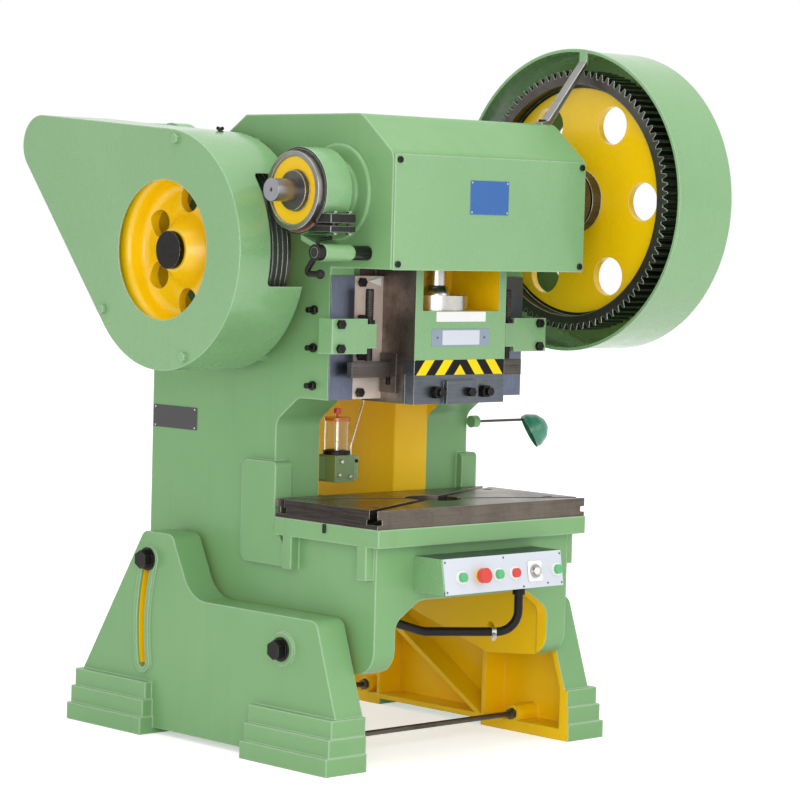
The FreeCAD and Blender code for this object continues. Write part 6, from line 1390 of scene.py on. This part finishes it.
@dataclass
class Drive:
    """Gears, flywheel, belts, motor and their covers."""

    strap_bolt: Point = (361, -52, 1796)
    nut: Point = (-500, 370, 1736)
    nut_profile: tuple = ((0.010, -0.004), (0.010, 0.002), (0.006, 0.004), (0.006, 0.010), (0.004, 0.013))
    wing_radius: float = 0.006

    def build(self) -> None:
        """Dress the drive and add the bolt and the nut of its covers."""
        Paint.GEAR.coat("bull_gear")
        Paint.DARK.coat("pinion", "clutch_sleeve", "motor_pulley")
        Paint.SHAFT.coat("drive_shaft")
        Paint.WHEEL.coat("flywheel")
        Paint.RUBBER.coat("v_belts")
        Paint.MOTOR.coat("motor")
        Paint.COVER.coat("belt_cover", "belt_cover_studs")
        Paint.GUARD.coat("gear_cover")
        seats = [top_seat(*self.strap_bolt)]
        ScrewRow("strap_bolt", seats, 0.0115, 0.009, Head.HEX, Paint.BLACK, "frame").build()
        self.wing_nut()

    def wing_nut(self) -> None:
        """The wing nut that holds the belt cover's top."""
        shape = turned(self.nut_profile)
        for side in (-1, 1):
            wing = bmesh.ops.create_uvsphere(shape, u_segments=12, v_segments=8,
                                             radius=self.wing_radius)["verts"]
            bmesh.ops.scale(shape, vec=(1.1, 0.4, 0.9), verts=wing)
            bmesh.ops.translate(shape, vec=(side * 0.008, 0, 0.010), verts=wing)
        hand_in(placed(shape, "cover_wing_nut", top_seat(*self.nut)), "frame", Paint.BLACK)


@dataclass
class Console:
    """The control box under the table."""

    lean: float = 9.3
    box_front: float = -292.0
    bottom: float = 484.0
    height: float = 98.0
    sheet: float = 3.0
    screws: tuple = ((-226, 8), (-226, 90), (0, 91), (226, 90), (226, 8), (72, 6), (170, 10))
    key: tuple[float, float] = (121.0, 46.0)
    key_plate_half: float = 0.029
    key_plate_thick: float = 0.0016
    key_hole: float = 0.0192
    key_steps: int = 32
    clip: Point = (60, -208, 352)
    clip_inner: float = 0.0122
    clip_outer: float = 0.0138
    clip_half: float = 0.0065

    def seat(self, x: float, up: float) -> Seat:
        """A seat on the leaning panel, by millimetres across and up.

        Args:
            x: How far right of the ram plane.
            up: How far up the panel from its lower edge.

        Returns:
            The seat.
        """
        lean = math.radians(self.lean)
        low_front = self.box_front - self.height * math.tan(lean)
        place = row(x, low_front + up * math.sin(lean) - self.sheet * math.cos(lean),
                    self.bottom + up * math.cos(lean) + self.sheet * math.sin(lean))
        return Seat(place, Vector(RIGHT), Vector((0, math.sin(lean), math.cos(lean))))

    def build(self) -> None:
        """Dress box, panel and buttons and add the screws, the key plate and the hose clip."""
        Paint.BOX.coat("control_box")
        Paint.PANEL.coat("control_panel")
        Paint.BEZEL.coat("button_bezels")
        Paint.LEAF.coat("start_button_left", "run_button", "start_button_right")
        Paint.RED.coat("stop_button", "emergency_stop")
        Paint.BRIGHT.coat("key_switch")
        Paint.CONDUIT.coat("conduit")
        self.key_plate()
        self.hose_clip()
        seats = [self.seat(x, up) for x, up in self.screws]
        ScrewRow("panel_screws", seats, 0.003, 0.0018, Head.SLOTTED, Paint.DARK, "frame").build()

    def key_plate(self) -> None:
        """The square white plate round the key switch, with its hole."""
        shape = bmesh.new()
        for out in (0.0, self.key_plate_thick):
            inner, outer = [], []
            for index in range(self.key_steps):
                angle = math.tau * (index + 0.5) / self.key_steps
                across, up = math.cos(angle), math.sin(angle)
                edge = self.key_plate_half / max(abs(across), abs(up))
                inner.append(shape.verts.new((across * self.key_hole, up * self.key_hole, out)))
                outer.append(shape.verts.new((across * edge, up * edge, out)))
            for index in range(self.key_steps):
                after = (index + 1) % self.key_steps
                shape.faces.new((inner[index], outer[index], outer[after], inner[after]))
        bmesh.ops.bridge_loops(shape, edges=[edge for edge in shape.edges if edge.is_boundary])
        bmesh.ops.recalc_face_normals(shape, faces=shape.faces)
        hand_in(placed(shape, "key_plate", self.seat(*self.key)), "frame", Paint.WHITE)

    def hose_clip(self) -> None:
        """The bright worm-drive clip round the conduit."""
        along = Vector((-0.8236, 0.5472, 0.0)).normalized()
        aside = Vector((-0.328, -0.494, -0.8)).normalized()
        seat = Seat(row(*self.clip), aside, along.cross(aside))
        half = self.clip_half
        shape = turned([(self.clip_inner, -half), (self.clip_outer, -half), (self.clip_outer, half),
                        (self.clip_inner, half)], 32, closed=True)
        housing = bmesh.ops.create_cube(shape, size=1.0)["verts"]
        bmesh.ops.scale(shape, vec=(0.008, 0.018, 0.012), verts=housing)
        bmesh.ops.translate(shape, vec=(0.0175, 0, 0), verts=housing)
        screw = bmesh.ops.create_cone(shape, cap_ends=True, segments=6, radius1=0.0048, radius2=0.0048,
                                      depth=0.030)["verts"]
        bmesh.ops.rotate(shape, cent=(0, 0, 0), matrix=Matrix.Rotation(math.pi / 2, 3, "X"), verts=screw)
        bmesh.ops.translate(shape, vec=(0.0185, 0.002, 0), verts=screw)
        hand_in(placed(shape, "hose_clip", seat), "frame", Paint.BRIGHT)


@dataclass
class Fittings:
    """Lubricator and lamp."""

    collar_profile: tuple = ((0.0365, 0.0), (0.040, 0.0), (0.040, 0.011), (0.0365, 0.013))
    collar: Point = (-88, 306, 820)
    valve_front: float = 291
    valve_bolts: tuple = ((-41, 762), (-23, 800))
    pump_front: float = 268
    pump_fittings: tuple = ((-112, 764), (-70, 758), (-104, 802))

    def build(self) -> None:
        """Dress the lubricator and the lamp and add the lubricator's small parts."""
        Paint.PUMP.coat("lubricator_body")
        Paint.RED.coat("lubricator_knob")
        collar = placed(turned(self.collar_profile, 40, closed=True), "glass_collar", top_seat(*self.collar))
        hand_in(collar, "frame", Paint.BLACK)
        seats = [front_seat(x, self.valve_front, z) for x, z in self.valve_bolts]
        ScrewRow("valve_bolts", seats, 0.0055, 0.005, Head.HEX, Paint.BLACK, "frame", "black_bolts").build()
        seats = [front_seat(x, self.pump_front, z) for x, z in self.pump_fittings]
        ScrewRow("pump_fittings", seats, 0.0065, 0.008, Head.HEX, Paint.BRIGHT, "frame").build()
        Paint.ARM.coat("lamp_arm")
        Paint.TEAL.coat("lamp_shade")
        glass = self.glass()
        for slot in FRAME["nodes"]["lubricator_glass"].material_slots:
            slot.material = glass

    @staticmethod
    def glass() -> bpy.types.Material:
        """Clear glass with an oily tint and smudges.

        Returns:
            The material.
        """
        material, graph = start_material("clear_glass_tube")
        place = here(graph)
        oil = graph.ramp(graph.noise(place, 12.0, 2.0), 0.3, 0.7)
        graph.surface({
            "Base Color": graph.blend(oil, (0.94, 0.9, 0.72, 1), (0.98, 0.96, 0.84, 1)),
            "Roughness": graph.ramp(graph.noise(place, 60.0, 3.0), 0.3, 0.8, 0.06, 0.2),
            "Transmission Weight": 1.0, "IOR": 1.46,
            "Normal": graph.bump(0.1, graph.noise(place, 30.0, 2.0))})
        return material


def main() -> None:
    """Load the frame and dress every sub-assembly."""
    logging.basicConfig(level=logging.INFO, format="%(message)s")
    FRAME.update(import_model())
    Groups.build()
    Studio().build()
    for part in (Stand(), Table(), Ram(), Crank(), Drive(), Console(), Fittings()):
        part.build()
        LOG.info("%s dressed", type(part).__name__)


if __name__ == "__main__":
    main()
